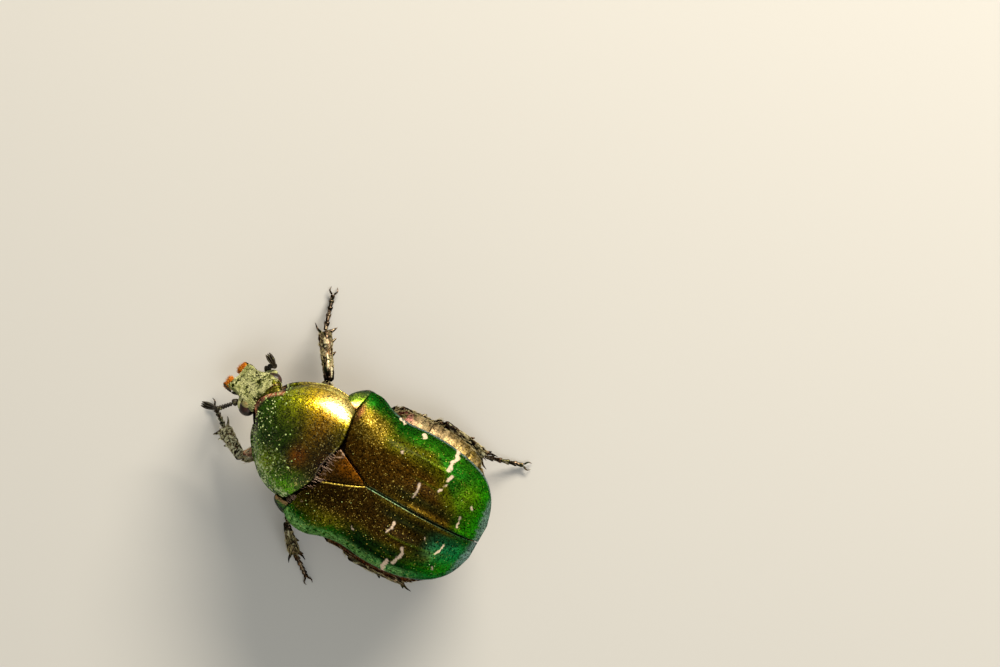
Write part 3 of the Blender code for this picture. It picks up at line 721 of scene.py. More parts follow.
wingColours = {
    "bronze": "#402a06", "umber": "#241804", "olive": "#4a4a06", "emerald": "#145a10", "deep": "#042008",
    "shade": "#161c02", "bright": "#2a8a0c", "grass": "#306e10", "leaf": "#5e7c0a", "teal": "#1c8252",
    "pale": "#86b872", "steel": "#8c98a4", "ground": "#5c480c", "copper": "#8a5638", "rib": "#54480e",
    "line": "#4f7256", "bead": "#d0b850",
}


def paintElytron(point):
    # bronze back, green sides and rear; y runs from the shoulders to the tip
    x, y = point.x, point.y
    left = x > 0
    side = 1 if left else -1
    c = wingColours
    half = elytraHalfWidth(y, x)
    share = min(1.05, abs(x) / half)
    drift = 0.06 * noiseAt(x * 0.9, y * 0.9, 2.0)
    ragged = noiseAt(x * 5.0, y * 5.0, 6.0)
    outward = share + drift + 0.02 * ragged
    outward += 0.08 + 0.35 * smoothStep(6.5, 10.5, y) if left else 0.5 * smoothStep(5.4, 9.0, y)
    colour = tinted(
        c["bronze"],
        (c["olive"], smoothStep(0.52, 0.78, outward)),
        (c["emerald"], smoothStep(0.76, 0.92, outward)),
        (c["bright"], 0.9 * smoothStep(8.2, 9.5, y + 0.5 * drift)),
    )
    dark = shade = shoulderGlints = 0.0
    if left:
        # painted shade: a dark band along the left side and a dark patch near the rear
        dark = between(0.5, 0.66, 0.82, 0.92, share) * (1 - smoothStep(6.5, 8.8, y)) * smoothStep(2.0, 4.0, y)
        dark = max(dark, 0.8 * spot(x, y, (2.3, 7.7), (1.0, 0.8)))
        # painted reflection of the pale floor: teal and ragged pale green on the lowest part of the left side
        low = smoothStep(0.79, 0.93, share)
        dustAndReflection = (1 - smoothStep(7.0, 9.0, y)) * smoothStep(-0.2, 0.2, ragged + 0.3)
        colour = tinted(
            colour,
            (c["umber"], 0.7 * (1 - smoothStep(0.5, 0.75, outward))),
            (c["deep"], 0.95 * dark),
            (c["deep"], 0.15 * (1 - smoothStep(0.6, 2.0, y)) * smoothStep(0.3, 0.6, share)),
            (c["teal"], 0.75 * bell(x, 1.2, 0.8) * smoothStep(7.4, 8.8, y)),
            (c["teal"], 0.5 * low * smoothStep(3.5, 6.0, y)),
            (c["pale"], 0.85 * low * dustAndReflection),
        )
    else:
        # painted highlight on the right shoulder: a gold-brown ground under a dense cluster of painted glints
        shoulderGlints = spot(x, y, (-3.25, 1.4), (0.95, 1.15), 4)
        # painted shade: a darker band down the right side that dims the key lamp's highlight there
        shade = bell(x, -3.15, 0.75) * between(1.9, 3.0, 5.6, 7.2, y)
        colour = tinted(
            colour,
            (c["ground"], 0.75 * shoulderGlints),
            (c["shade"], 0.85 * shade),
            (c["copper"], 0.8 * spot(x, y, (-3.7, 0.3), (0.5, 0.2))),
            (c["leaf"], 0.8 * spot(x, y, (-2.1, 8.7), (0.9, 0.8))),
            (c["umber"], 0.7 * bell(x, 0.0, 0.9) * between(2.6, 3.4, 5.5, 7.5, y)),
            (c["grass"], 0.7 * smoothStep(0.8, 0.92, share) * between(3.0, 4.5, 7.5, 9.0, y)),
        )
    # ribs, the valley beside the suture darkened as painted shade, and the suture itself
    for place in elytra["ribPlaces"]:
        crest = bell(abs(x), ribPlace(place, half), 0.09) * between(4.6, 6.2, 9.0, 9.8, y)
        colour = tinted(colour, (c["leaf"], 0.2 * crest))
    colour = tinted(
        colour,
        (c["deep"], 0.6 * bell(abs(x), 0.75, 0.35) * between(3.6, 5.5, 8.6, 9.8, y)),
        (c["rib"], (0.9 if left else 0.4) * bell(abs(x), 0.24, 0.13) * between(3.2, 4.6, 8.4, 9.6, y)),
        (c["line"], 0.75 * smoothStep(0.11, 0.05, abs(x)) * smoothStep(2.8, 3.2, y)),
    )
    if left and y < elytra["scutellumTip"]:
        colour = tinted(colour, (c["bead"], 0.9 * smoothStep(0.12, 0.06, abs(x) - elytraInnerEdge(y, side))))
    # steel-grey rim along the lower side and at the tip: painted reflection where the shell turns steeply
    # away
    rim = smoothStep(0.985, 0.998, share + 0.008 * ragged) * smoothStep(0.8, 3.5, y)
    rim *= smoothStep(0.5, 0.2, point.z - elytraMargin(y) + 0.15 * ragged)
    apex = smoothStep(10.15, 10.55, y + 0.45 * share + 0.2 * ragged)
    colour = tinted(colour, (c["steel"], max(0.7 * rim, 0.65 * apex)))
    # share of painted glints, fewer in the painted shade bands
    spark = 0.1 + 0.12 * (1 - smoothStep(0.75, 1.0, share)) * (1 - smoothStep(4.0, 9.5, y))
    if left:
        spark += 0.16 * smoothStep(0.25, 0.5, share) * (1 - smoothStep(4.5, 7.0, y))
    spark *= (1 - 0.6 * dark) * (1 - 0.7 * shade)
    return colour, (creamShare(x, y), spark + 0.65 * shoulderGlints, 0.0)


def buildElytra():
    for name, node, side in (("elytronLeft", "elytron_left", 1), ("elytronRight", "elytron_right", -1)):
        bm = bmesh.new()
        gridSurface(bm, elytra["columns"], elytra["rows"], elytronSurface(side))
        finishPiece(name, bm, wingCaseMaterial, node, "elytra_green", paintElytron, elytra["thickness"])
    print("elytra built")


# Scutellum

scutellum = {
    "tuckedIn": 0.12,    # how far the base runs under the pronotum
    "columns": 40,
    "rows": 46,
    "thickness": 0.3,
}


def scutellumSurface(u, v):
    base = elytra["scutellumBase"] - scutellum["tuckedIn"]
    y = base + (scutellumTipPlace - base) * v
    half = max(0.05, scutellumHalfWidth(y))
    x = half * (2 * u - 1)
    rise = elytraRidge(y) + 0.02 - 0.05 * (x / half) ** 2
    rise -= rollOff(1 - abs(2 * u - 1), 0.12, 0.1) + rollOff(1 - v, 0.05, 0.1)
    rise -= pitDepthAt(Vector((x, y, 0)), 0.22, 0.012)
    return Vector((x, y + elytra["slant"] * x * (1 - v), rise))


def paintScutellum(point):
    x, y = point.x, point.y
    edge = smoothStep(0.82, 0.94, abs(x) / max(0.05, scutellumHalfWidth(y)))
    colour = tinted(
        "#3b2a0a",
        ("#a2600f", smoothStep(0.5, -0.5, x + 0.2 * (y - 1.5))),
        ("#5a3c14", smoothStep(1.3, 0.4, y)),
        ("#241606", 0.9 * edge * (x < 0)),
    )
    dust = smoothStep(0.25, 0.5, noiseAt(x * 9.0 + y * 4.0, y * 2.0, 3.0)) * smoothStep(1.4, 0.5, y)
    return colour, (dust, 0.05, 0.0)


def buildScutellum():
    bm = bmesh.new()
    gridSurface(bm, scutellum["columns"], scutellum["rows"], scutellumSurface)
    finishPiece(
        "scutellumPlate", bm, scutellumMaterial, "scutellum", "scutellum_bronze", paintScutellum,
        scutellum["thickness"],
    )
    print("scutellum built")


# Pronotum, in a frame turned about the middle of its base

pronotum = {
    "length": 5.15,
    "width": 7.5,
    "base": Vector((0.02, 0.0, 0.0)),
    "yaw": math.radians(-10),
    "top": 7.1,
    "margin": 4.55,
    "outline": (              # place from front to base, share of the half width
        (0.0, 0.36), (0.05, 0.5), (0.13, 0.62), (0.28, 0.78), (0.48, 0.93), (0.7, 1.0), (0.86, 1.0),
        (1.0, 0.97),
    ),
    "columns": 190,
    "rows": 150,
    "thickness": 0.25,
    "beadRise": 0.07,
}


def prothoraxToBody(point):
    return Matrix.Rotation(pronotum["yaw"], 3, "Z") @ Vector(point) + pronotum["base"]


def bodyToProthorax(point):
    return Matrix.Rotation(-pronotum["yaw"], 3, "Z") @ (Vector(point) - pronotum["base"])


def pronotumHalfWidth(share):
    return through(scaled(pronotum["outline"], pronotum["width"] / 2), share)


def pronotumPlace(share, u):
    corner = 0.26 * smoothStep(0.2, 0.6, u) * (1 - 0.4 * smoothStep(0.8, 1.0, u))
    front = -pronotum["length"] - 0.48 + 0.75 * u**2 + corner
    base = 0.06 + 0.1 * math.sin(math.pi * min(1.0, abs(u) / 0.7)) ** 2 - 0.66 * abs(u) ** 3.2
    return front + (base - front) * share


def pronotumHeight(share, u):
    top = pronotum["top"] - 1.55 * (1 - share) ** 2.1 - 0.1 * share**4
    low = pronotum["margin"] - 0.25 * (1 - share) + 0.4 * share**2
    return low + (top - low) * (1 - min(1.0, abs(u)) ** 2.5) ** 0.56


def pronotumSurface(acrossShare, alongShare):
    turn = 2 * acrossShare - 1
    u = math.sin(math.pi / 2 * turn)
    share = 1 - math.cos(math.pi / 2 * alongShare)
    side = 1 - abs(turn)
    bead = pronotum["beadRise"] * (bell(side, 0.012, 0.012) - 0.5 * bell(side, 0.04, 0.014))
    x = pronotumHalfWidth(share) * u + math.copysign(bead * 0.6, u)
    z = pronotumHeight(share, u) + bead * 0.7
    z -= rollOff(1 - alongShare, 0.02, 0.12) + rollOff(alongShare, 0.06, 0.1)
    point = prothoraxToBody((x, pronotumPlace(share, u), z))
    point.z -= pitDepthAt(point, 0.14, 0.011) * smoothStep(0.03, 0.08, side)
    return point


pronotumColours = {
    "green": "#44760a", "deep": "#264606", "olive": "#7a7a04", "gold": "#c09a14", "bronze": "#9a6a0c",
    "lime": "#90a012", "brown": "#2a1402", "paintedHighlight": "#e8d8a0", "orange": "#86460a", "copper": "#b0684e",
    "bead": "#e6cc70", "leaf": "#5ea012",
}
# colour, share, place and reach of the patches that lie over the ground colour, in this order
pronotumPatches = (
    ("green", 0.8, (-1.6, -4.6), (1.3, 0.7)),
    ("lime", 0.75, (-2.0, -3.6), (1.3, 0.8)),
    ("lime", 0.45, (1.8, -3.2), (0.8, 0.8)),
    ("gold", 0.9, (-3.0, -1.7), (1.2, 1.5)),
    ("bronze", 0.9, (-1.5, -1.3), (1.4, 0.9)),
    # dark brown over the rear: the shell's bronze darkened as a painted dark reflection
    ("brown", 0.97, (0.0, -0.2), (2.7, 1.15)),
    # painted highlight: pale gold where the key lamp shines on the right rear
    ("paintedHighlight", 0.6, (-3.25, -1.0), (0.45, 0.9)),
    ("orange", 0.85, (0.55, -1.7), (0.7, 0.6)),
)


def paintPronotum(point):
    x, y = point.x, point.y
    c = pronotumColours
    drift = 0.35 * noiseAt(x * 0.8, y * 0.8, 7.0)
    colour = tinted(
        c["deep"],
        (c["green"], 0.5 * smoothStep(1.0, 1.8, x + drift) + 0.5 * smoothStep(2.4, 3.6, x + drift)),
        (c["olive"], smoothStep(-0.4, 1.4, -x * 0.85 + y * 0.25 + drift)),
        *((c[name], most * spot(x, y, place, reach)) for name, most, place, reach in pronotumPatches),
    )
    inside = bodyToProthorax(point)
    share = clamp((inside.y + pronotum["length"]) / pronotum["length"])
    halfWidth = pronotumHalfWidth(share)
    acrossShare = abs(inside.x) / halfWidth
    frontU = max(-1.0, min(1.0, inside.x / pronotumHalfWidth(0.0)))
    front = smoothStep(0.32, 0.14, inside.y - pronotumPlace(0.0, frontU))
    band = front * smoothStep(0.8, 0.3, inside.x) * smoothStep(-1.8, -1.2, inside.x)
    rim = smoothStep(0.945, 0.965, acrossShare)
    colour = tinted(
        colour,
        (c["leaf"], 0.9 * spot(inside.x, inside.y, (2.85, -1.0), (0.3, 0.9))),
        # painted shade: dark brown along the front edge, where the head tucks under
        (c["brown"], front),
        (c["copper"], band),
        # painted highlight: the margin bead is gold on the right, where the key lamp falls, and green on the
        # left
        (c["bead"] if x < 0 else c["green"], (0.95 if y > -3.2 else 0.4) * rim),
    )
    # pale wrinkles of dust along the left margin
    edge = min(halfWidth * (1 - acrossShare), inside.y - pronotumPlace(0.0, inside.x / halfWidth))
    fleck = noiseAt(x * 7.0, y * 7.0, 2.2)
    along = noiseAt(edge * 7.0 + 1.5 * fleck, inside.y * 2.2, 2.2)
    line = smoothStep(0.16, 0.05, abs(along)) * smoothStep(-0.35, 0.0, fleck)
    dust = smoothStep(0.8, 0.5, edge) * smoothStep(0.3, 0.8, x) * line
    # flecks of dust near the head and down the left side, and a thin bloom on the soft front band
    nearHead = 0.6 * smoothStep(0.42, 0.6, fleck) * smoothStep(-3.2, -4.4, y)
    leftSide = 0.65 * smoothStep(0.22, 0.42, noiseAt(x * 9.0, y * 9.0, 8.0))
    leftSide *= smoothStep(0.4, 1.6, x) * smoothStep(-1.6, -2.8, y)
    bloom = 0.35 * band * smoothStep(-0.1, 0.4, noiseAt(x * 3.0 + y * 12.0, y * 3.0, 1.0))
    # share of painted glints: more round the gold on the right rear and towards the left side
    spark = 0.22 + 0.35 * spot(x, y, (-2.2, -1.4), (1.6, 1.5)) + 0.2 * smoothStep(0.0, 2.0, x)
    return colour, (max(dust, nearHead, leftSide, bloom), spark, 0.0)


def buildPronotum():
    bm = bmesh.new()
    gridSurface(bm, pronotum["columns"], pronotum["rows"], pronotumSurface)
    finishPiece(
        "pronotumPlate", bm, pronotumMaterial, "pronotum", "pronotum_gold_green", paintPronotum,
        pronotum["thickness"],
    )
    print("pronotum built")


# Dark skin under the joint of pronotum and elytra, with the hairs that show in it

hinge = {
    "columns": 60,
    "rows": 12,
    "halfWidth": 4.15,
    "sunk": 0.4,
    "colour": "#1c120a",
    # middle, reach, count and length
    "tufts": ((0.52, 0.13, 46, 0.42), (0.88, 0.045, 80, 0.3), (0.7, 0.2, 30, 0.28)),
}


def hingeSurface(u, v):
    across = 2 * u - 1
    front = pronotumSurface(0.5 + 0.47 * across, 0.93)
    x = hinge["halfWidth"] * across
    rear = Vector((x, elytra["front"] + elytra["slant"] * x + 0.9, dome(x, 1.0)))
    return front.lerp(rear, v) - upward * (hinge["sunk"] + 0.2 * abs(across))


def paintSoftSkin(_):
    return linear(hinge["colour"]), (0.0, 0.0, 0.0)


def buildHinge():
    bm = bmesh.new()
    gridSurface(bm, hinge["columns"], hinge["rows"], hingeSurface)
    finishPiece("hingeMembrane", bm, undersideMaterial, None, "underside_copper", paintSoftSkin)
    rng = random.Random(3)
    stamps = []

    def sheet(turn, share):
        return hingeSurface(turn / fullTurn, share) + upward * 0.3

    for middle, reach, count, length in hinge["tufts"]:
        growHairs(
            stamps, rng, sheet, count=count, length=length, width=0.035, up=upward,
            turns=(fullTurn * (middle - reach), fullTurn * (middle + reach)),
            shares=(0.3, 0.75), stand=(0.1, 0.5), spread=0.35,
        )
    finishCoat("hingeHair", stamps, pinkHairMaterial, "underside_copper")
    print("hinge built")


# Wedges between the hind corners of the pronotum and the shoulders

mesepimeron = {
    "inner": 3.5,
    "reach": {1: 0.95, -1: 1.42},
    "low": 3.9,
    # the right wedge's lighter outer and inner colours are painted highlight
    "outer": {1: "#2c5a0e", -1: "#5e7a1c"},
    "innerEdge": {1: "#8a6a4a", -1: "#c8905c"},
    "tip": "#33502a",
}


def mesepimeronSurface(side):
    def surfaceAt(turn, share):
        x = mesepimeron["inner"] + mesepimeron["reach"][side] * share
        edgeShare = (x - elytra["scutellumWidth"] / 2) / (elytra["bodyWidth"] - elytra["scutellumWidth"]) * 2
        rear = elytraFrontEdge(side, edgeShare) + 0.3
        front = rear - 1.4 + 0.95 * share**2.4
        high = 5.55 - 1.2 * share**1.5
        close = endDome(share, 0.06)
        c, s = math.cos(turn), math.sin(turn)
        y = (front + rear) / 2 + (rear - front) / 2 * signedPower(c, 0.55) * close
        middle = (high + mesepimeron["low"]) / 2
        z = middle + (high - middle) * signedPower(s, 0.6) * close
        z -= 0.25 * (1 - (y - front) / max(0.1, rear - front)) ** 2
        z -= 0.35 * smoothStep(rear - 0.4, rear, y)
        return Vector((side * x, y, z))
    return surfaceAt


def paintMesepimeron(point):
    side = 1 if point.x > 0 else -1
    reach = abs(point.x)
    inward = 1 - smoothStep(3.6, 3.9, reach + 0.25 * noise.noise(point * 4.0))
    colour = tinted(
        mesepimeron["outer"][side],
        (mesepimeron["innerEdge"][side], 0.9 * inward),
        (mesepimeron["tip"], smoothStep(4.4, 4.8, reach)),
    )
    return colour, (0.0, 0.2, 0.0)


def buildMesepimera():
    for name, node, side in (
        ("mesepimeronLeft", "mesepimeron_left", 1), ("mesepimeronRight", "mesepimeron_right", -1),
    ):
        bm = bmesh.new()
        roundSurface(bm, 48, 40, mesepimeronSurface(side))
        finishPiece(name, bm, pronotumMaterial, node, "pronotum_gold_green", paintMesepimeron)
    print("mesepimera built")


# Underside

underside = {
    "belly": 1.25,
    "swell": 0.36,
    "rightBulge": 0.24,
    "segments": 5,
    "stepRise": 0.1,          # how far each segment stands over the next
    "abdomen": (4.45, 9.5),
    "thorax": (-0.35, 4.75),
    "knobPath": ((0, 2.4, 1.5), (0, 1.2, 1.25), (0, 0.2, 1.35)),    # rounded process between the middle legs
    "knob": ((0.0, 0.5), (0.6, 0.42), (1.0, 0.62)),
    "pygidiumWidth": ((0.0, 2.2), (0.3, 2.4), (0.7, 1.75), (1.0, 0.7)),
    "pygidiumRear": ((0.0, 9.85), (0.12, 10.1), (0.25, 10.28), (0.42, 10.4), (0.6, 10.4), (1.0, 9.9)),
    "pygidiumThickness": 0.35,
}


def flankRing(turn, half, top, ledge, swell, low):
    # arch that fills the shell above, a flank that swells out below the ledge
    c, s = math.cos(turn), math.sin(turn)
    flank = ledge - 0.5
    if s < 0:
        return swell * signedPower(c, 0.85), flank - (flank - low) * abs(s) ** 1.15
    width = half + (swell - half) * (1 - s) ** 5
    return width * signedPower(c, 0.5), flank + (top - flank) * s**0.7


def rearBody(ends, segments, slant=0.0):
    start, end = ends

    def surfaceAt(turn, share):
        y = start + (end - start) * share
        frontShare = clamp((2.6 - y) / 1.6)
        half = elytraHalfWidth(y) - 0.75 - 0.4 * frontShare
        top = elytraRidge(y) - 0.9
        low = underside["belly"] + 0.35 * max(0.0, 1 - y / 2.2) + 1.2 * max(0.0, (y - 7.0) / 3.4) ** 1.6
        swell = elytraHalfWidth(y) + underside["swell"] - 1.3 * frontShare - 0.8 * max(0.0, (y - 8.2) / 2.2)
        ledge = elytraMargin(y) - 0.28
        within = (share * segments) % 1.0 if segments else 0.5
        step = underside["stepRise"] * (smoothStep(0.0, 0.12, within) - smoothStep(0.75, 1.0, within) * 0.5)
        x, z = flankRing(turn, half, top, ledge, swell - 0.06 + step, low + 0.05 - step)
        if x < 0:
            bulge = underside["rightBulge"] * between(2.0, 3.6, 7.4, 8.9, y)
            x -= bulge * smoothStep(ledge + 0.1, ledge - 0.4, z) * smoothStep(low + 0.4, low + 1.4, z)
        middle = (ledge + low) / 2
        close = endDome(share, 0.03)
        x *= close
        z = middle + (z - middle) * close
        return Vector((x, y + slant * (1 - share) ** 2 * x, z))
    return surfaceAt


def prothoraxSurface(turn, share):
    place = 0.17 + 0.77 * share
    half = pronotumHalfWidth(place - 0.06) - 1.0
    top = pronotumHeight(max(0.0, place - 0.06), 0.0) - 0.85
    ledge = pronotumHeight(place, 1.0) - 0.15
    low = underside["belly"] + 0.55 + 0.5 * (1 - place) ** 2
    x, z = flankRing(turn, half, top, ledge - 0.2, half + 0.35 * smoothStep(0.2, 0.5, place), low)
    x *= 1 - 0.2 * smoothStep(0.45, 0.15, place) * (x > 0)
    close = endDome(share, 0.04)
    middle = (ledge + low) / 2
    y = -pronotum["length"] * (1 - place) - 0.15
    return prothoraxToBody((x * close, y, middle + (z - middle) * close))


def paintUnderside(point):
    x, y, z = point
    outer = smoothStep(3.2, 4.0, abs(x))
    flank = smoothStep(1.9, 2.7, z) * outer * between(2.4, 3.2, 8.8, 9.6, y)
    colour = tinted(
        "#5c3a22",
        ("#8a5a3a", smoothStep(-0.3, 0.4, noise.noise(point * 0.8))),
        ("#3c5a24", 0.5 * smoothStep(0.1, 0.4, noise.noise(point * 0.6 + Vector((3, 1, 0))))),
    )
    if x >= 0:
        return tinted(colour, ("#4a2f1c", 0.8 * flank)), (0.0, 0.06, 0.0)
    # the flank that the photo shows: tan with dark patches, a mottled front and dust
    patches = smoothStep(0.1, 0.35, noise.noise(point * 1.7 + Vector((2, 7, 1))))
    mottled = smoothStep(3.9, 3.1, y) * smoothStep(1.6, 2.2, y) * outer
    colour = tinted(
        colour,
        (tinted("#76664a", ("#6c5c2c", smoothStep(5.0, 8.0, y))), flank),
        ("#3f3218", 0.7 * patches * flank),
        ("#6e4242" if noise.noise(point * 2.6) > 0 else "#2c3c14", 0.85 * mottled),
        # painted shade: a dark spot on the right flank next to the legs
        ("#1c120a", spot(x, y, (-4.9, 4.5), (0.3, 0.25)) * smoothStep(2.2, 2.8, z)),
    )
    dust = 0.4 * flank * (1 - mottled) * smoothStep(-0.1, 0.3, noise.noise(point * 5.0))
    return colour, (dust, 0.06, 0.0)


def pygidiumSurface(u, v):
    across = 2 * u - 1
    half = through(underside["pygidiumWidth"], v)
    rear = through(underside["pygidiumRear"], v)
    z = 4.35 - 2.7 * v - 0.25 * across**2 * (1 - v)
    return Vector((half * across, rear - 0.75 * across**2, z))


def buildUnderside():
    thorax = rearBody(underside["thorax"], 0, math.tan(pronotum["yaw"]))
    abdomen = rearBody(underside["abdomen"], underside["segments"])
    for node, rings, surfaceAt in (
        ("prothorax", 90, prothoraxSurface), ("thorax", 90, thorax), ("abdomen", 160, abdomen),
    ):
        bm = bmesh.new()
        roundSurface(bm, 120, rings, surfaceAt)
        if node == "thorax":
            roundSurface(bm, 32, 24, tubeAt(underside["knobPath"], underside["knob"], 0.7, cap=0.2))
        finishPiece(node + "Body", bm, undersideMaterial, node, "underside_copper", paintUnderside)
    bm = bmesh.new()
    gridSurface(bm, 50, 40, pygidiumSurface)
    inward = [face for face in bm.faces if face.normal.y < 0]
    if len(inward) > len(bm.faces) / 2:
        bmesh.ops.reverse_faces(bm, faces=bm.faces)
    finishPiece(
        "pygidiumPlate", bm, undersideMaterial, "pygidium", "underside_copper", paintUnderside,
        underside["pygidiumThickness"],
    )
    print("underside built")


# Head, in its own frame: x to the beetle's left, y back, z up from the face

head = {
    "place": Vector((-1.32, -5.75, 3.7)),
    "yaw": math.radians(-3),
    "pitch": math.radians(38),
    "roll": math.radians(-18),
    "rear": 1.75,
    "front": -2.15,
    "width": (
        (-2.15, 0.9), (-1.75, 0.95), (-1.3, 0.92), (-0.95, 0.98), (-0.6, 1.18), (-0.1, 1.32), (0.5, 1.32),
        (1.2, 1.0), (1.75, 0.75),
    ),
    "rise": (
        (-2.15, 0.27), (-1.75, 0.35), (-1.3, 0.42), (-0.85, 0.5), (0.0, 0.58), (0.55, 0.55), (1.75, 0.4),
    ),
    "drop": ((-2.15, 0.1), (-1.75, 0.25), (-1.3, 0.55), (-0.85, 0.8), (0.0, 1.0), (1.2, 0.8), (1.75, 0.62)),
    "eyeSpread": {1: 1.3, -1: 1.14},
    "eyeSize": (0.48, 0.56, 0.46),
    "eyePlace": (0.1, -0.03),
    "ridge": ((0.0, 0.2), (0.6, 0.22), (1.0, 0.12)),
    "cheek": ((0.0, 0.22), (0.5, 0.3), (1.0, 0.22)),
    "jaw": ((0.0, 0.3), (0.6, 0.26), (1.0, 0.14)),
    "neck": ((0.0, 0.62), (0.3, 1.1), (0.6, 1.5), (1.0, 1.6)),
}
headTurn = (
    Matrix.Rotation(head["yaw"], 4, "Z")
    @ Matrix.Rotation(head["pitch"], 4, "X")
    @ Matrix.Rotation(head["roll"], 4, "Y")
)
headMatrix = Matrix.Translation(head["place"]) @ headTurn
headUp = headTurn.to_3x3() @ upward


def onHead(side, *places):
    # body places of head places, mirrored for the right side
    return [headMatrix @ Vector((side * x, y, z)) for x, y, z in places]


def headSurface(turn, share):
    y = head["rear"] + (head["front"] - head["rear"]) * share
    half, rise, drop = (through(head[key], y) for key in ("width", "rise", "drop"))
    close = endDome(share, 0.02)
    c, s = math.cos(turn), math.sin(turn)
    x = half * signedPower(c, 0.6) * close
    across = abs(x) / half
    if s > 0:
        # dished clypeus with a raised rim, a low keel and a pit before each eye
        clypeus = smoothStep(-0.7, -1.1, y)
        z = rise * s**0.7
        z -= 0.09 * (1 - across**2) * clypeus * s
        z += 0.07 * smoothStep(0.72, 0.95, across) * clypeus
        z += 0.1 * bell(y, -2.08, 0.1) * s
        z += 0.05 * bell(x, 0.0, 0.16) * (1 - clypeus)
        z -= 0.06 * spot(abs(x), y, (0.62, -0.55), (0.2, 0.3))
        z -= pitDepthAt(Vector((x, y, 0.0)), 0.16, 0.02)
    else:
        z = -drop * abs(s) ** 0.75
    y += 0.13 * (1 - min(1.0, across)) * smoothStep(0.9, 1.0, share)
    return headMatrix @ Vector((x, y, z * close))


def dustOnHead(place):
    # woolly dust: thick on the face and cheeks, worn off in patches and thin at the back
    broad = noise.noise(place * 1.5 + Vector((3, 0, 1)))
    fleck = noise.noise(place * 3.2)
    fine = noise.noise(place * 9.0 + Vector((0, 0, 5)))
    back = smoothStep(0.3, 1.1, place.y) * (1 - 0.5 * smoothStep(0.3, 0.8, place.x))
    worn = 0.05 + 0.35 * broad + 0.5 * fleck + 0.45 * fine - 0.5 * back
    return smoothStep(-0.22, 0.12, worn) * (place.z > -0.2)


def paintHead(point):
    place = headMatrix.inverted() @ point
    x, y, z = place
    cheek = spot(abs(x), y, (1.18, 0.2), (0.28, 0.35)) * (z > 0)
    colour = tinted(
        "#3f4c18",
        ("#2e3414", smoothStep(-0.1, 0.25, noise.noise(place * 2.2))),
        ("#5a6014", smoothStep(-0.2, -1.2, x) * smoothStep(-0.6, 0.2, y)),
        ("#484812", smoothStep(0.4, 0.9, y)),
        ("#3a2410", 0.8 * smoothStep(0.0, 0.3, noise.noise(place * 3.0)) * smoothStep(0.2, 0.7, y)),
        # painted shadow: dark brown at the rear left, where the head meets the pronotum
        ("#2a1a10", 0.95 * smoothStep(0.35, 0.9, x) * smoothStep(0.55, 0.9, y)),
        ("#55402a", 0.8 * smoothStep(0.0, -0.2, z)),
        ("#7a5a30" if x > 0 else "#4a4a1c", 0.9 * cheek),
    )
    return colour, (0.72 * dustOnHead(place) * (1 - 0.6 * cheek), 0.15, 0.0)


def eyeSurface(side):
    middle = Vector((side * head["eyeSpread"][side], *head["eyePlace"]))

    def surfaceAt(turn, share):
        angle = math.pi * share
        wide, deep, high = head["eyeSize"]
        local = Vector((
            wide * math.sin(angle) * math.cos(turn),
            deep * -math.cos(angle),
            high * math.sin(angle) * math.sin(turn),
        ))
        return headMatrix @ (local + middle)
    return surfaceAt


def buildHead():
    bm = bmesh.new()
    roundSurface(bm, 150, 130, headSurface)
    for side in (1, -1):
        # ridge that runs from the cheek into the front of each eye
        ridge = onHead(side, (0.9, -0.7, 0.12), (1.25, -0.4, 0.16), (1.5, -0.1, 0.2), (1.55, 0.15, 0.2))
        roundSurface(bm, 20, 26, tubeAt(ridge, head["ridge"], 0.7, headUp, 0.2))
        # cheek that covers the inner top of the eye
        overEye = head["eyeSpread"][side] - 0.12
        cheek = onHead(side, (1.02, -0.25, 0.2), (overEye, 0.12, 0.28), (1.05, 0.5, 0.2))
        roundSurface(bm, 24, 26, tubeAt(cheek, head["cheek"], 0.75, headUp, 0.3))
        # mandible and palp root under the clypeus
        jaw = onHead(side, (0.6, -0.6, -0.6), (0.62, -1.4, -0.5), (0.45, -1.95, -0.22))
        roundSurface(bm, 20, 26, tubeAt(jaw, head["jaw"], 0.7, headUp, 0.15))
    finishPiece("headCapsule", bm, headMaterial, "head", "head_green_pollen", paintHead)
    # soft neck that closes the space under the front of the pronotum
    bm = bmesh.new()
    rear = [prothoraxToBody(place) for place in ((0.1, -4.4, 4.65), (0, -3.3, 4.7))]
    neckPath = onHead(1, (0, 0.8, -0.05)) + rear
    roundSurface(bm, 40, 30, tubeAt(neckPath, head["neck"], 0.78, cap=0.15, rough=0.04))
    finishPiece("neckMembrane", bm, undersideMaterial, None, "underside_copper", paintSoftSkin)
    for name, node, side in (("eyeLeft", "eye_left", 1), ("eyeRight", "eye_right", -1)):
        bm = bmesh.new()
        roundSurface(bm, 48, 32, eyeSurface(side))
        finishPiece(name, bm, eyeMaterial, node, "eye_dark")
    print("head built")


# Pollen: round grains stuck to the shells and the face

pollen = {
    "pronotum": {"count": 280, "size": 0.055},
    "elytra": {"count": 220, "size": 0.035},
    "head": {"count": 2600, "size": 0.045},
    "flatness": 0.75,
}


def scatterGrains(name, rng, amount, placeAt, material, slotName):
    # placeAt gives a point on the shell with its place on the shell's layout, or nothing
    template = bmesh.new()
    bmesh.ops.create_icosphere(template, subdivisions=1, radius=1.0)
    template.verts.ensure_lookup_table()
    shape = [Vector((vert.co.x, vert.co.y, vert.co.z * pollen["flatness"])) for vert in template.verts]
    sides = [[vert.index for vert in face.verts] for face in template.faces]
    template.free()
    stamps = []
    for _ in range(amount["count"]):
        place, patch = placeAt(rng)
        if place is None:
            continue
        radius = amount["size"] * rng.uniform(0.5, 1.2)
        turn = Matrix.Rotation(rng.uniform(0, 6), 3, "Z") @ Matrix.Rotation(rng.uniform(0, 6), 3, "X")
        stamps.append(([place + turn @ corner * radius for corner in shape], patch))
    joinStamps(name, stamps, sides, 0.001, 4, material, slotName)


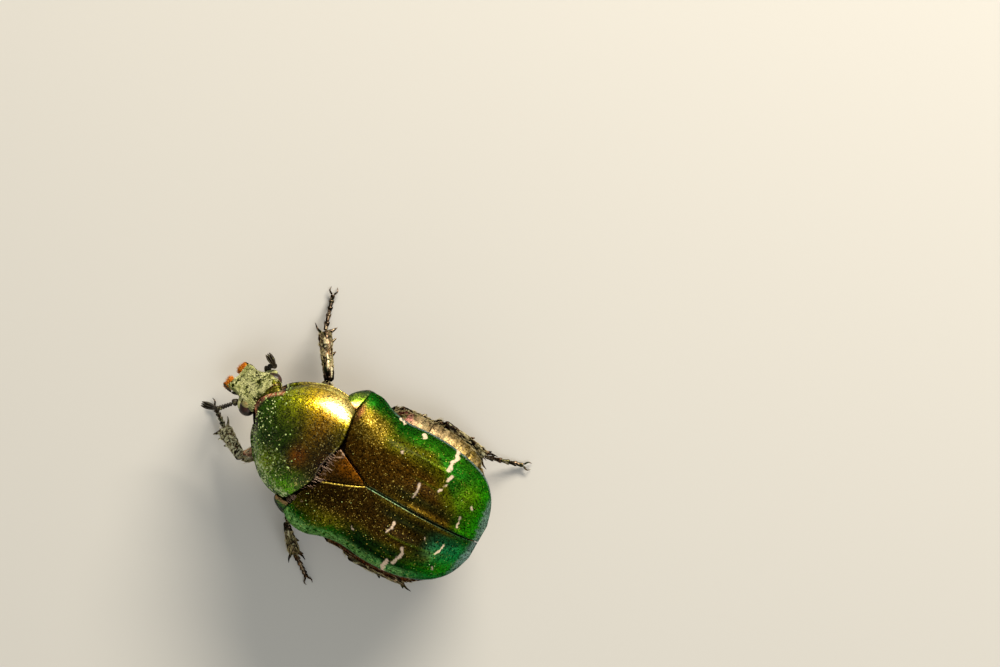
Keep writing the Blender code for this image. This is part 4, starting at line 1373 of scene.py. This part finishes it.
def pronotumGrainPlace(rng):
    across, along = rng.uniform(0.08, 0.92), rng.uniform(0.15, 0.95)
    point = pronotumSurface(across, along)
    wanted = smoothStep(-1.5, 1.5, point.x) * smoothStep(-0.6, -2.0, point.y)
    wanted += 0.6 * smoothStep(-3.4, -4.4, point.y)
    return (point if rng.random() < wanted else None), (across, along)


def elytraGrainPlace(rng):
    side = rng.choice((1, -1))
    u, v = rng.uniform(0.05, 0.95), rng.uniform(0.02, 0.9)
    point = elytronSurface(side)(u, v)
    wanted = 0.25 + 0.6 * smoothStep(3.0, 0.5, point.y) * (side > 0)
    return (point if rng.random() < wanted else None), (0.25 + side * 0.25 * u, v)


def headGrainPlace(rng):
    turn, share = rng.uniform(-0.2, math.pi + 0.2), rng.uniform(0.25, 0.98)
    point = headSurface(turn, share)
    dustAndReflection = dustOnHead(headMatrix.inverted() @ point) > rng.random()
    return (point if dustAndReflection else None), ((turn / fullTurn) % 1.0, share)


def buildGrains():
    rng = random.Random(41)
    for shell, placeAt, material, slotName in (
        ("pronotum", pronotumGrainPlace, grainMaterial, "pronotum_gold_green"),
        ("elytra", elytraGrainPlace, grainMaterial, "elytra_green"),
        ("head", headGrainPlace, pollenMaterial, "head_green_pollen"),
    ):
        scatterGrains(shell + "Pollen", rng, pollen[shell], placeAt, material, slotName)
    print("pollen scattered")


# Feelers: stout first joint, bead-like stalk joints and a club of three leaves

antenna = {
    "root": (1.3, -0.8, 0.0),
    "elbow": {1: Vector((0.3, -0.2, 0.1)), -1: Vector((-0.35, -0.05, 0.0))},
    "bend": {1: Vector((0.95, -7.55, 3.35)), -1: Vector((-3.2, -5.75, 3.6))},
    "tip": {1: Vector((1.2, -8.6, 3.05)), -1: Vector((-3.62, -6.55, 3.45))},
    "scape": ((0.0, 0.1), (0.6, 0.23), (1.0, 0.2)),
    "joints": 6,
    "jointRadius": 0.13,
    "joint": ((0.0, 0.55), (0.62, 1.15), (1.0, 0.75)),    # share of the joint's radius
    "leaf": ((0.0, 0.12), (0.25, 0.19), (0.6, 0.24), (1.0, 0.2)),
    "leafFlatness": 0.3125,
}


def buildAntennae():
    for name, node, side in (("antennaLeft", "antenna_left", 1), ("antennaRight", "antenna_right", -1)):
        bm = bmesh.new()
        root = onHead(side, antenna["root"])[0]
        elbow = root + antenna["elbow"][side]
        bend, tip = antenna["bend"][side], antenna["tip"][side]
        scapePath = (root - (elbow - root) * 0.3, root.lerp(elbow, 0.6), elbow)
        roundSurface(bm, 24, 22, tubeAt(scapePath, antenna["scape"], cap=0.2))
        joints = antenna["joints"]
        for joint in range(joints):
            near = elbow.lerp(bend, joint / joints)
            far = elbow.lerp(bend, (joint + 1.12) / joints)
            radius = antenna["jointRadius"] * (0.92 + 0.05 * joint)
            roundSurface(bm, 16, 14, tubeAt((near, far), scaled(antenna["joint"], radius), cap=0.25))
        across = (tip - bend).normalized().cross(upward).normalized()
        for leaf in (-1, 0, 1):
            spread = across * leaf
            path = (bend + spread * 0.04, bend.lerp(tip, 0.5) + spread * 0.15, tip + spread * 0.12)
            roundSurface(bm, 24, 24, tubeAt(path, antenna["leaf"], antenna["leafFlatness"], across, 0.3))
        finishPiece(name, bm, antennaMaterial, node, "antenna_dark")
    print("feelers built")


# Mouth brushes with the dark palps beside them

brush = {
    "root": (0.5, -1.8, -0.66),
    "reach": (0.14, -1.12, 0.2),
    "core": ((0.0, 0.2), (0.35, 0.32), (0.6, 0.28), (0.85, 0.36), (1.0, 0.3)),
    "fibres": {
        "count": 900, "shares": (0.3, 0.99), "stand": (0.0, 0.5), "spread": 0.2, "length": 0.26,
        "width": 0.045,
    },
    "palp": ((0.85, -1.4, -0.45), (1.05, -2.0, -0.38), (1.02, -2.5, -0.34), (0.88, -2.95, -0.38)),
    "palpJoint": ((0.0, 0.05), (0.6, 0.085), (1.0, 0.06)),
}


def buildBrushes():
    rng = random.Random(5)
    for end, side in (("left", 1), ("right", -1)):
        name = "maxilla" + end.capitalize()
        bm = bmesh.new()
        root = onHead(side, brush["root"])[0]
        x, y, z = brush["reach"]
        reach = headTurn.to_3x3() @ Vector((side * x, y, z))
        core = tubeAt((root, root + reach * 0.5, root + reach * 0.95), brush["core"], 0.85, headUp, 0.1, 0.2)
        roundSurface(bm, 28, 28, core)
        finishPiece(name, bm, brushMaterial, "maxilla_" + end, "maxilla_orange")
        stamps = []
        growHairs(stamps, rng, core, **brush["fibres"])
        finishCoat(name + "Hair", stamps, brushMaterial, "maxilla_orange")
        bm = bmesh.new()
        palp = onHead(side, *brush["palp"])
        for near, far in zip(palp, palp[1:]):
            roundSurface(bm, 14, 12, tubeAt((near, far), brush["palpJoint"], cap=0.2))
        finishPiece("palp" + end.capitalize(), bm, antennaMaterial, None, "antenna_dark")
    print("mouth brushes built")


# Legs: hip, knee, ankle, middle and end of the foot, in millimetres

legPlaces = {
    "front_right": (
        (-1.3, -2.5, 2.2), (-3.95, -2.35, 2.9), (-6.35, -4.2, 1.15), (-7.75, -4.68, 0.3), (-8.55, -4.95, 0.2),
    ),
    "front_left": (
        (0.9, -2.9, 2.2), (2.9, -4.75, 3.05), (2.1, -6.65, 0.95), (1.55, -7.4, 0.3), (1.3, -7.95, 0.2),
    ),
    "middle_right": (
        (-1.3, 1.0, 2.0), (-4.74, 2.3, 2.75), (-4.6, 4.75, 1.2), (-4.35, 5.9, 0.3), (-4.1, 7.1, 0.2),
    ),
    "middle_left": (
        (1.3, 1.0, 2.0), (5.0, -0.35, 2.85), (6.65, 1.05, 1.25), (7.35, 1.95, 0.3), (7.75, 2.45, 0.2),
    ),
    "hind_right": (
        (-1.7, 3.6, 2.0), (-5.35, 5.1, 2.75), (-4.6, 8.3, 1.35), (-4.9, 9.7, 0.32), (-5.25, 10.75, 0.2),
    ),
    "hind_left": (
        (1.7, 3.6, 2.0), (4.98, 4.05, 2.55), (4.65, 7.85, 1.25), (3.4, 9.0, 0.3), (2.2, 9.6, 0.2),
    ),
}
# shapes are (place along the joint, share of its radius)
leg = {
    "femur": {"front": 0.5, "middle": 0.5, "hind": 0.58},
    "femurShape": ((0.0, 0.62), (0.2, 0.9), (0.5, 1.0), (0.82, 0.82), (1.0, 0.6)),
    "hipShape": ((0.0, 0.9), (0.5, 1.1), (1.0, 0.7)),
    "tibia": {"front": 0.4, "middle": 0.34, "hind": 0.36},
    "waist": {"front": 0.85, "middle": 0.66, "hind": 0.66},
    "teeth": {
        "front": ((0.5, 0.2), (0.76, 0.3), (0.97, 0.42)),
        "middle": ((0.55, 0.16), (0.97, 0.2)),
        "hind": ((0.55, 0.16), (0.97, 0.2)),
    },
    "spurLength": 0.95,
    "spines": 9,
    "tarsus": 0.165,
    "tarsusJoints": 5,
    "tarsusShape": ((0.0, 0.6), (0.55, 0.8), (0.85, 1.05), (1.0, 0.8)),
    "tarsusEnd": ((0.0, 0.6), (0.55, 0.8), (0.85, 0.85), (1.0, 0.8)),
    "clawLength": 0.5,
    "clawSpread": 0.19,
}
# how far dust spreads, how strong the pale streaks are and how thick the dust lies
legLooks = {
    "front_left": (0.4, 0.25, 0.95),
    "front_right": (0.1, 0.85, 0.5),
    "hind_right": (0.1, 0.5, 0.5),
    "others": (0.0, 0.25, 0.5),
}
# painted highlight on the left front knee: copper raised past full brightness
kneeHighlight = [2.2 * channel for channel in linear("#f2a080")]


def thorn(bm, root, tip, radius, bend=Vector((0, 0, 0)), sides=12):
    # tapered, slightly curved spine with a sharp tip
    middle = root.lerp(tip, 0.5) + bend
    up = (tip - root).normalized().orthogonal()
    knots = scaled(((0.0, 1.0), (0.5, 0.62), (1.0, 0.12)), radius)
    roundSurface(bm, sides, 14, tubeAt((root, middle, tip), knots, 1.0, up, 0.05))


def tarsusPath(ankle, middle, end, steps=12):
    start = ankle + (middle - ankle).normalized() * 0.1
    shares = [step / steps for step in range(steps + 1)]
    return [start.lerp(middle, share).lerp(middle.lerp(end, share), share) for share in shares]


def alongPath(path, share):
    place = share * (len(path) - 1)
    index = min(int(place), len(path) - 2)
    return path[index].lerp(path[index + 1], place - index)


def legPainter(name, knee, ankle):
    # dark chitin with streaks of dust; the left front leg is the dustiest and has a coppery knee with a
    # painted highlight
    along = (ankle - knee).normalized()
    length = (ankle - knee).length
    dustAndReflection, pale, cover = legLooks.get(name, legLooks["others"])
    coppery = name == "front_left"

    def paintAt(point):
        offset = point - knee
        reach = offset.dot(along)
        grain = noise.noise((offset - along * reach) * 8.0 + along * reach * 1.5)
        pits = smoothStep(0.05, 0.3, noise.noise(point * 10.0))
        copper = spot(point.x, point.y, (2.2, -4.6), (0.32, 0.22), 4) if coppery else 0.0
        colour = tinted(
            "#15110b",
            ("#42301f", smoothStep(-0.1, 0.45, noise.noise(point * 2.0))),
            ("#26341a", 0.6 * smoothStep(0.0, 0.4, noise.noise(point * 1.4 + Vector((4, 4, 4))))),
            ("#8a7460", pale * smoothStep(-0.15, 0.25, grain) * (1 - pits)),
            ("#160e08", bell(offset.length, 0.0, 0.55, 4)),
            (kneeHighlight, copper),
        )
        tibia = smoothStep(0.1, 0.4, reach) * (1 - smoothStep(-0.2, 0.1, reach - length))
        if coppery:
            grain = 0.05 + 1.3 * noise.noise(point * 7.0)
        dust = smoothStep(0.3 - dustAndReflection, 0.5 - dustAndReflection, grain + 0.4 * noise.noise(point * 6.0)) * (1 - pits)
        dust *= cover * (0.3 + 0.7 * tibia) * (1 - copper) * smoothStep(0.35, 0.7, point.z)
        return colour, (dust, 0.12, 0.0)

    return paintAt


def makeFemur(pair, side, hip, knee):
    bm = bmesh.new()
    radius = leg["femur"][pair]
    knots = scaled(leg["femurShape"], radius)
    femur = tubeAt((hip, hip.lerp(knee, 0.5), knee), knots, 0.72, cap=0.08, rough=0.05)
    roundSurface(bm, 40, 60, femur)
    # coxa and trochanter close the gap to the body
    inner = hip + Vector((-side * 0.5, 0.0, -0.05))
    coxa = tubeAt((inner, hip.lerp(knee, 0.12)), scaled(leg["hipShape"], radius), 0.8, cap=0.2)
    roundSurface(bm, 28, 24, coxa)
    return bm, femur


def makeTibia(pair, side, knee, ankle):
    bm = bmesh.new()
    front = pair == "front"
    radius, waist = leg["tibia"][pair], leg["waist"][pair]
    knots = scaled(((0.0, waist * 0.8), (0.12, waist), (0.5, 0.92), (0.85, 1.08), (1.0, 1.0)), radius)
    bowed = knee.lerp(ankle, 0.5) + upward * 0.06
    tibia = tubeAt((knee, bowed, ankle), knots, 0.74, cap=0.06, rough=0.1, seed=2.0)
    roundSurface(bm, 36, 70, tibia)
    length = (ankle - knee).length
    along = (ankle - knee).normalized()
    across = along.cross(upward).normalized()
    over = across.cross(along)
    kept = (across.y > 0) == (side < 0) if front else across.y > 0
    outward = across * (1 if kept else -1)
    for share, reach in leg["teeth"][pair]:
        root = knee + along * length * share
        tip = root + outward * (radius + reach) + along * 0.3
        thorn(bm, root, tip, 0.2, outward * 0.03 - along * 0.04)
    for turn in (-1,) if front else (-1, 1):
        root = knee + along * length * 0.96 + outward * radius * 0.4 * turn
        tip = root + along * leg["spurLength"] + outward * 0.4 * turn - over * 0.1
        thorn(bm, root, tip, 0.11, outward * 0.08 * turn)
    if not front:
        # crown of short spines round the end of the tibia
        for step in range(leg["spines"]):
            angle = fullTurn * step / leg["spines"]
            aside = across * math.cos(angle) + over * math.sin(angle) * 0.74
            root = knee + along * length * 0.97 + aside * radius * 0.8
            thorn(bm, root, root + along * 0.32 + aside * 0.12, 0.05, sides=6)
    return bm, tibia


def makeTarsus(ankle, middle, end):
    bm = bmesh.new()
    path = tarsusPath(ankle, middle, end)
    joints = leg["tarsusJoints"]
    for joint in range(joints):
        near = alongPath(path, max(0.0, joint / joints - 0.015))
        far = alongPath(path, min(1.0, (joint + 1) / joints + 0.01))
        size = leg["tarsus"] * (1.0 if joint else 1.08)
        last = joint == joints - 1
        knots = scaled(leg["tarsusEnd" if last else "tarsusShape"], size)
        roundSurface(bm, 18, 18, tubeAt((near, near.lerp(far, 0.5), far), knots, 0.85, cap=0.12))
        if not last:
            heading = (far - near).normalized()
            aside = heading.cross(upward).normalized()
            for turn in (-1, 1):
                root = far - heading * 0.1 + aside * size * 0.7 * turn
                tip = root + heading * 0.14 + aside * 0.06 * turn - upward * 0.05
                thorn(bm, root, tip, 0.025, sides=6)
    # claws that reach down to the floor, and a flat sole
    heading = (path[-1] - path[-3]).normalized()
    aside = heading.cross(upward).normalized()
    for turn in (-1, 1):
        root = path[-1] + aside * 0.06 * turn
        tip = path[-1] + heading * leg["clawLength"] + aside * leg["clawSpread"] * turn
        tip.z = 0.04
        thorn(bm, root, tip, 0.07, aside * 0.12 * turn + upward * 0.09)
    for vert in bm.verts:
        vert.co.z = max(vert.co.z, 0.0)
    return bm


def buildLeg(name, places):
    pair, end = name.split("_")
    side = 1 if end == "left" else -1
    hip, knee, ankle, middle, tip = (Vector(place) for place in places)
    femur, femurSurface = makeFemur(pair, side, hip, knee)
    tibia, tibiaSurface = makeTibia(pair, side, knee, ankle)
    paintAt = legPainter(name, knee, ankle)
    for part, bm in (("femur", femur), ("tibia", tibia), ("tarsus", makeTarsus(ankle, middle, tip))):
        title = pair + end.capitalize() + part.capitalize()
        finishPiece(title, bm, legMaterial, f"{name}_{part}", "leg_dark_copper", paintAt)
    return femurSurface, tibiaSurface


def buildLegs():
    surfaces = [buildLeg(name, places) for name, places in legPlaces.items()]
    print("legs built")
    return surfaces


# Coats of hair on legs, flanks and head

coats = {
    "leg": {"shares": (0.25, 0.98), "stand": (0.05, 0.45), "spread": 0.15, "width": 0.03},
    "legParts": ({"count": 170, "length": 0.4}, {"count": 260, "length": 0.32}),    # femur and tibia
    "flank": {
        "count": 420, "shares": (0.08, 0.95), "stand": (0.05, 0.3), "spread": 0.25, "length": 0.32,
        "width": 0.026,
    },
    "prothorax": {
        "count": 700, "turns": (-math.pi, 0.1), "shares": (0.1, 0.9), "lie": -1.0, "stand": (0.1, 0.5),
        "spread": 0.3, "length": 0.45, "width": 0.026,
    },
    "head": {
        "count": 2600, "turns": (-0.3, math.pi + 0.3), "shares": (0.2, 0.97), "lie": 0.9, "stand": (0.0, 0.3),
        "spread": 0.6, "length": 0.15, "width": 0.045,
    },
}


def buildLegHair(surfaces):
    rng = random.Random(11)
    stamps = []
    for row, parts in enumerate(surfaces):
        for column, (surfaceAt, part) in enumerate(zip(parts, coats["legParts"])):
            tile = (0.5 * column, row / len(surfaces), 0.49, 0.16)
            growHairs(stamps, rng, surfaceAt, tile=tile, **coats["leg"], **part)
    finishCoat("legHair", stamps, hairMaterial, "leg_dark_copper")
    stamps = []
    for ends, low in ((underside["abdomen"], 0.0), (underside["thorax"], 0.5)):
        flank = rearBody(ends, 0)
        for turns in ((-0.9, 0.15), (math.pi - 0.15, math.pi + 0.9)):
            growHairs(stamps, rng, flank, turns=turns, tile=(0.0, low, 1.0, 0.48), **coats["flank"])
    growHairs(stamps, rng, prothoraxSurface, **coats["prothorax"])
    finishCoat("flankHair", stamps, hairMaterial, "underside_copper")
    print("leg and flank hair grown")


def buildHeadCoat():
    inverse = headMatrix.inverted()
    stamps = []

    def patchy(root):
        return dustOnHead(inverse @ root)

    growHairs(stamps, random.Random(23), headSurface, where=patchy, **coats["head"])
    finishCoat("headHair", stamps, pollenMaterial, "head_green_pollen")
    print("head coat grown")


buildElytra()
buildScutellum()
buildPronotum()
buildHinge()
buildMesepimera()
buildUnderside()
buildHead()
buildAntennae()
buildBrushes()
buildLegHair(buildLegs())
buildHeadCoat()
buildGrains()

# Camera at the photograph's viewing angle: above the back, turned so that the head points to lower left

view = {
    "tilt": math.radians(4.5),
    "turn": math.radians(30),
    "place": (-35.715, 5.333, 305.517),
    "lens": 176.04,
}


def setCamera():
    cosTilt, sinTilt = math.cos(view["tilt"]), math.sin(view["tilt"])
    cosTurn, sinTurn = math.cos(view["turn"]), math.sin(view["turn"])
    toCamera = Vector((-sinTilt, 0, cosTilt))
    beetleRight = Vector((-cosTilt, 0, -sinTilt))
    beetleFront = Vector((0, -1, 0))
    imageRight = beetleFront * -cosTurn + beetleRight * sinTurn
    imageUp = beetleFront * sinTurn + beetleRight * cosTurn
    camera = bpy.data.cameras.new("camera")
    camera.lens = view["lens"]
    camera.sensor_width = 36.0
    camera.clip_start = 0.01
    camera.clip_end = 10.0
    holder = bpy.data.objects.new("camera", camera)
    bpy.context.scene.collection.objects.link(holder)
    turned = Matrix((imageRight, imageUp, toCamera)).transposed().to_4x4()
    holder.matrix_world = Matrix.Translation(inFrame(view["place"])) @ turned
    bpy.context.scene.camera = holder


# Studio: a pale floor, soft surroundings and three lamps, in metres

studio = {
    "floor": "#c6c6c4",
    "floorReach": 1.5,
    "surroundings": "#cbcbc6",
    "strength": 0.42,
    "aim": (0, 0, 4),    # where the lamps point, in body millimetres
    "lamps": (           # name, direction, distance, size, power, colour
        ("key", (-0.92, -0.06, 0.42), 0.25, (0.22, 0.06), 1.25, "#fff2dc"),
        ("fill", (0.8, 0.25, 0.5), 0.35, (0.42, 0.42), 0.3, "#fff4d4"),
        ("top", (0.2, 0.6, 1.2), 0.35, (0.2, 0.2), 0.3, "#ffffff"),
    ),
}


def addLight(name, direction, distance, size, power, colour):
    lamp = bpy.data.lights.new(name, "AREA")
    lamp.shape = "ELLIPSE"
    lamp.size, lamp.size_y = size
    lamp.energy = power
    lamp.color = linear(colour)
    holder = bpy.data.objects.new(name, lamp)
    bpy.context.scene.collection.objects.link(holder)
    away = Vector(direction).normalized()
    turned = away.to_track_quat("Z", "Y").to_matrix().to_4x4()
    holder.matrix_world = Matrix.Translation(inFrame(studio["aim"]) + away * distance) @ turned


def setStudio():
    bm = bmesh.new()
    bmesh.ops.create_grid(bm, x_segments=1, y_segments=1, size=studio["floorReach"])
    mesh = bpy.data.meshes.new("floor")
    bm.to_mesh(mesh)
    bm.free()
    material, _ = newMaterial("paleFloor")
    mesh.materials.append(wireShader(material, {}, {"Base Color": opaque(studio["floor"]), "Roughness": 0.8}))
    floor = bpy.data.objects.new("floor", mesh)
    bpy.context.scene.collection.objects.link(floor)
    world = bpy.data.worlds.new("studio")
    bpy.context.scene.world = world
    world.use_nodes = True
    background = world.node_tree.nodes["Background"]
    background.inputs[0].default_value = opaque(studio["surroundings"])
    background.inputs[1].default_value = studio["strength"]
    for lamp in studio["lamps"]:
        addLight(*lamp)
    bpy.context.scene.view_settings.view_transform = "Standard"


setCamera()
setStudio()
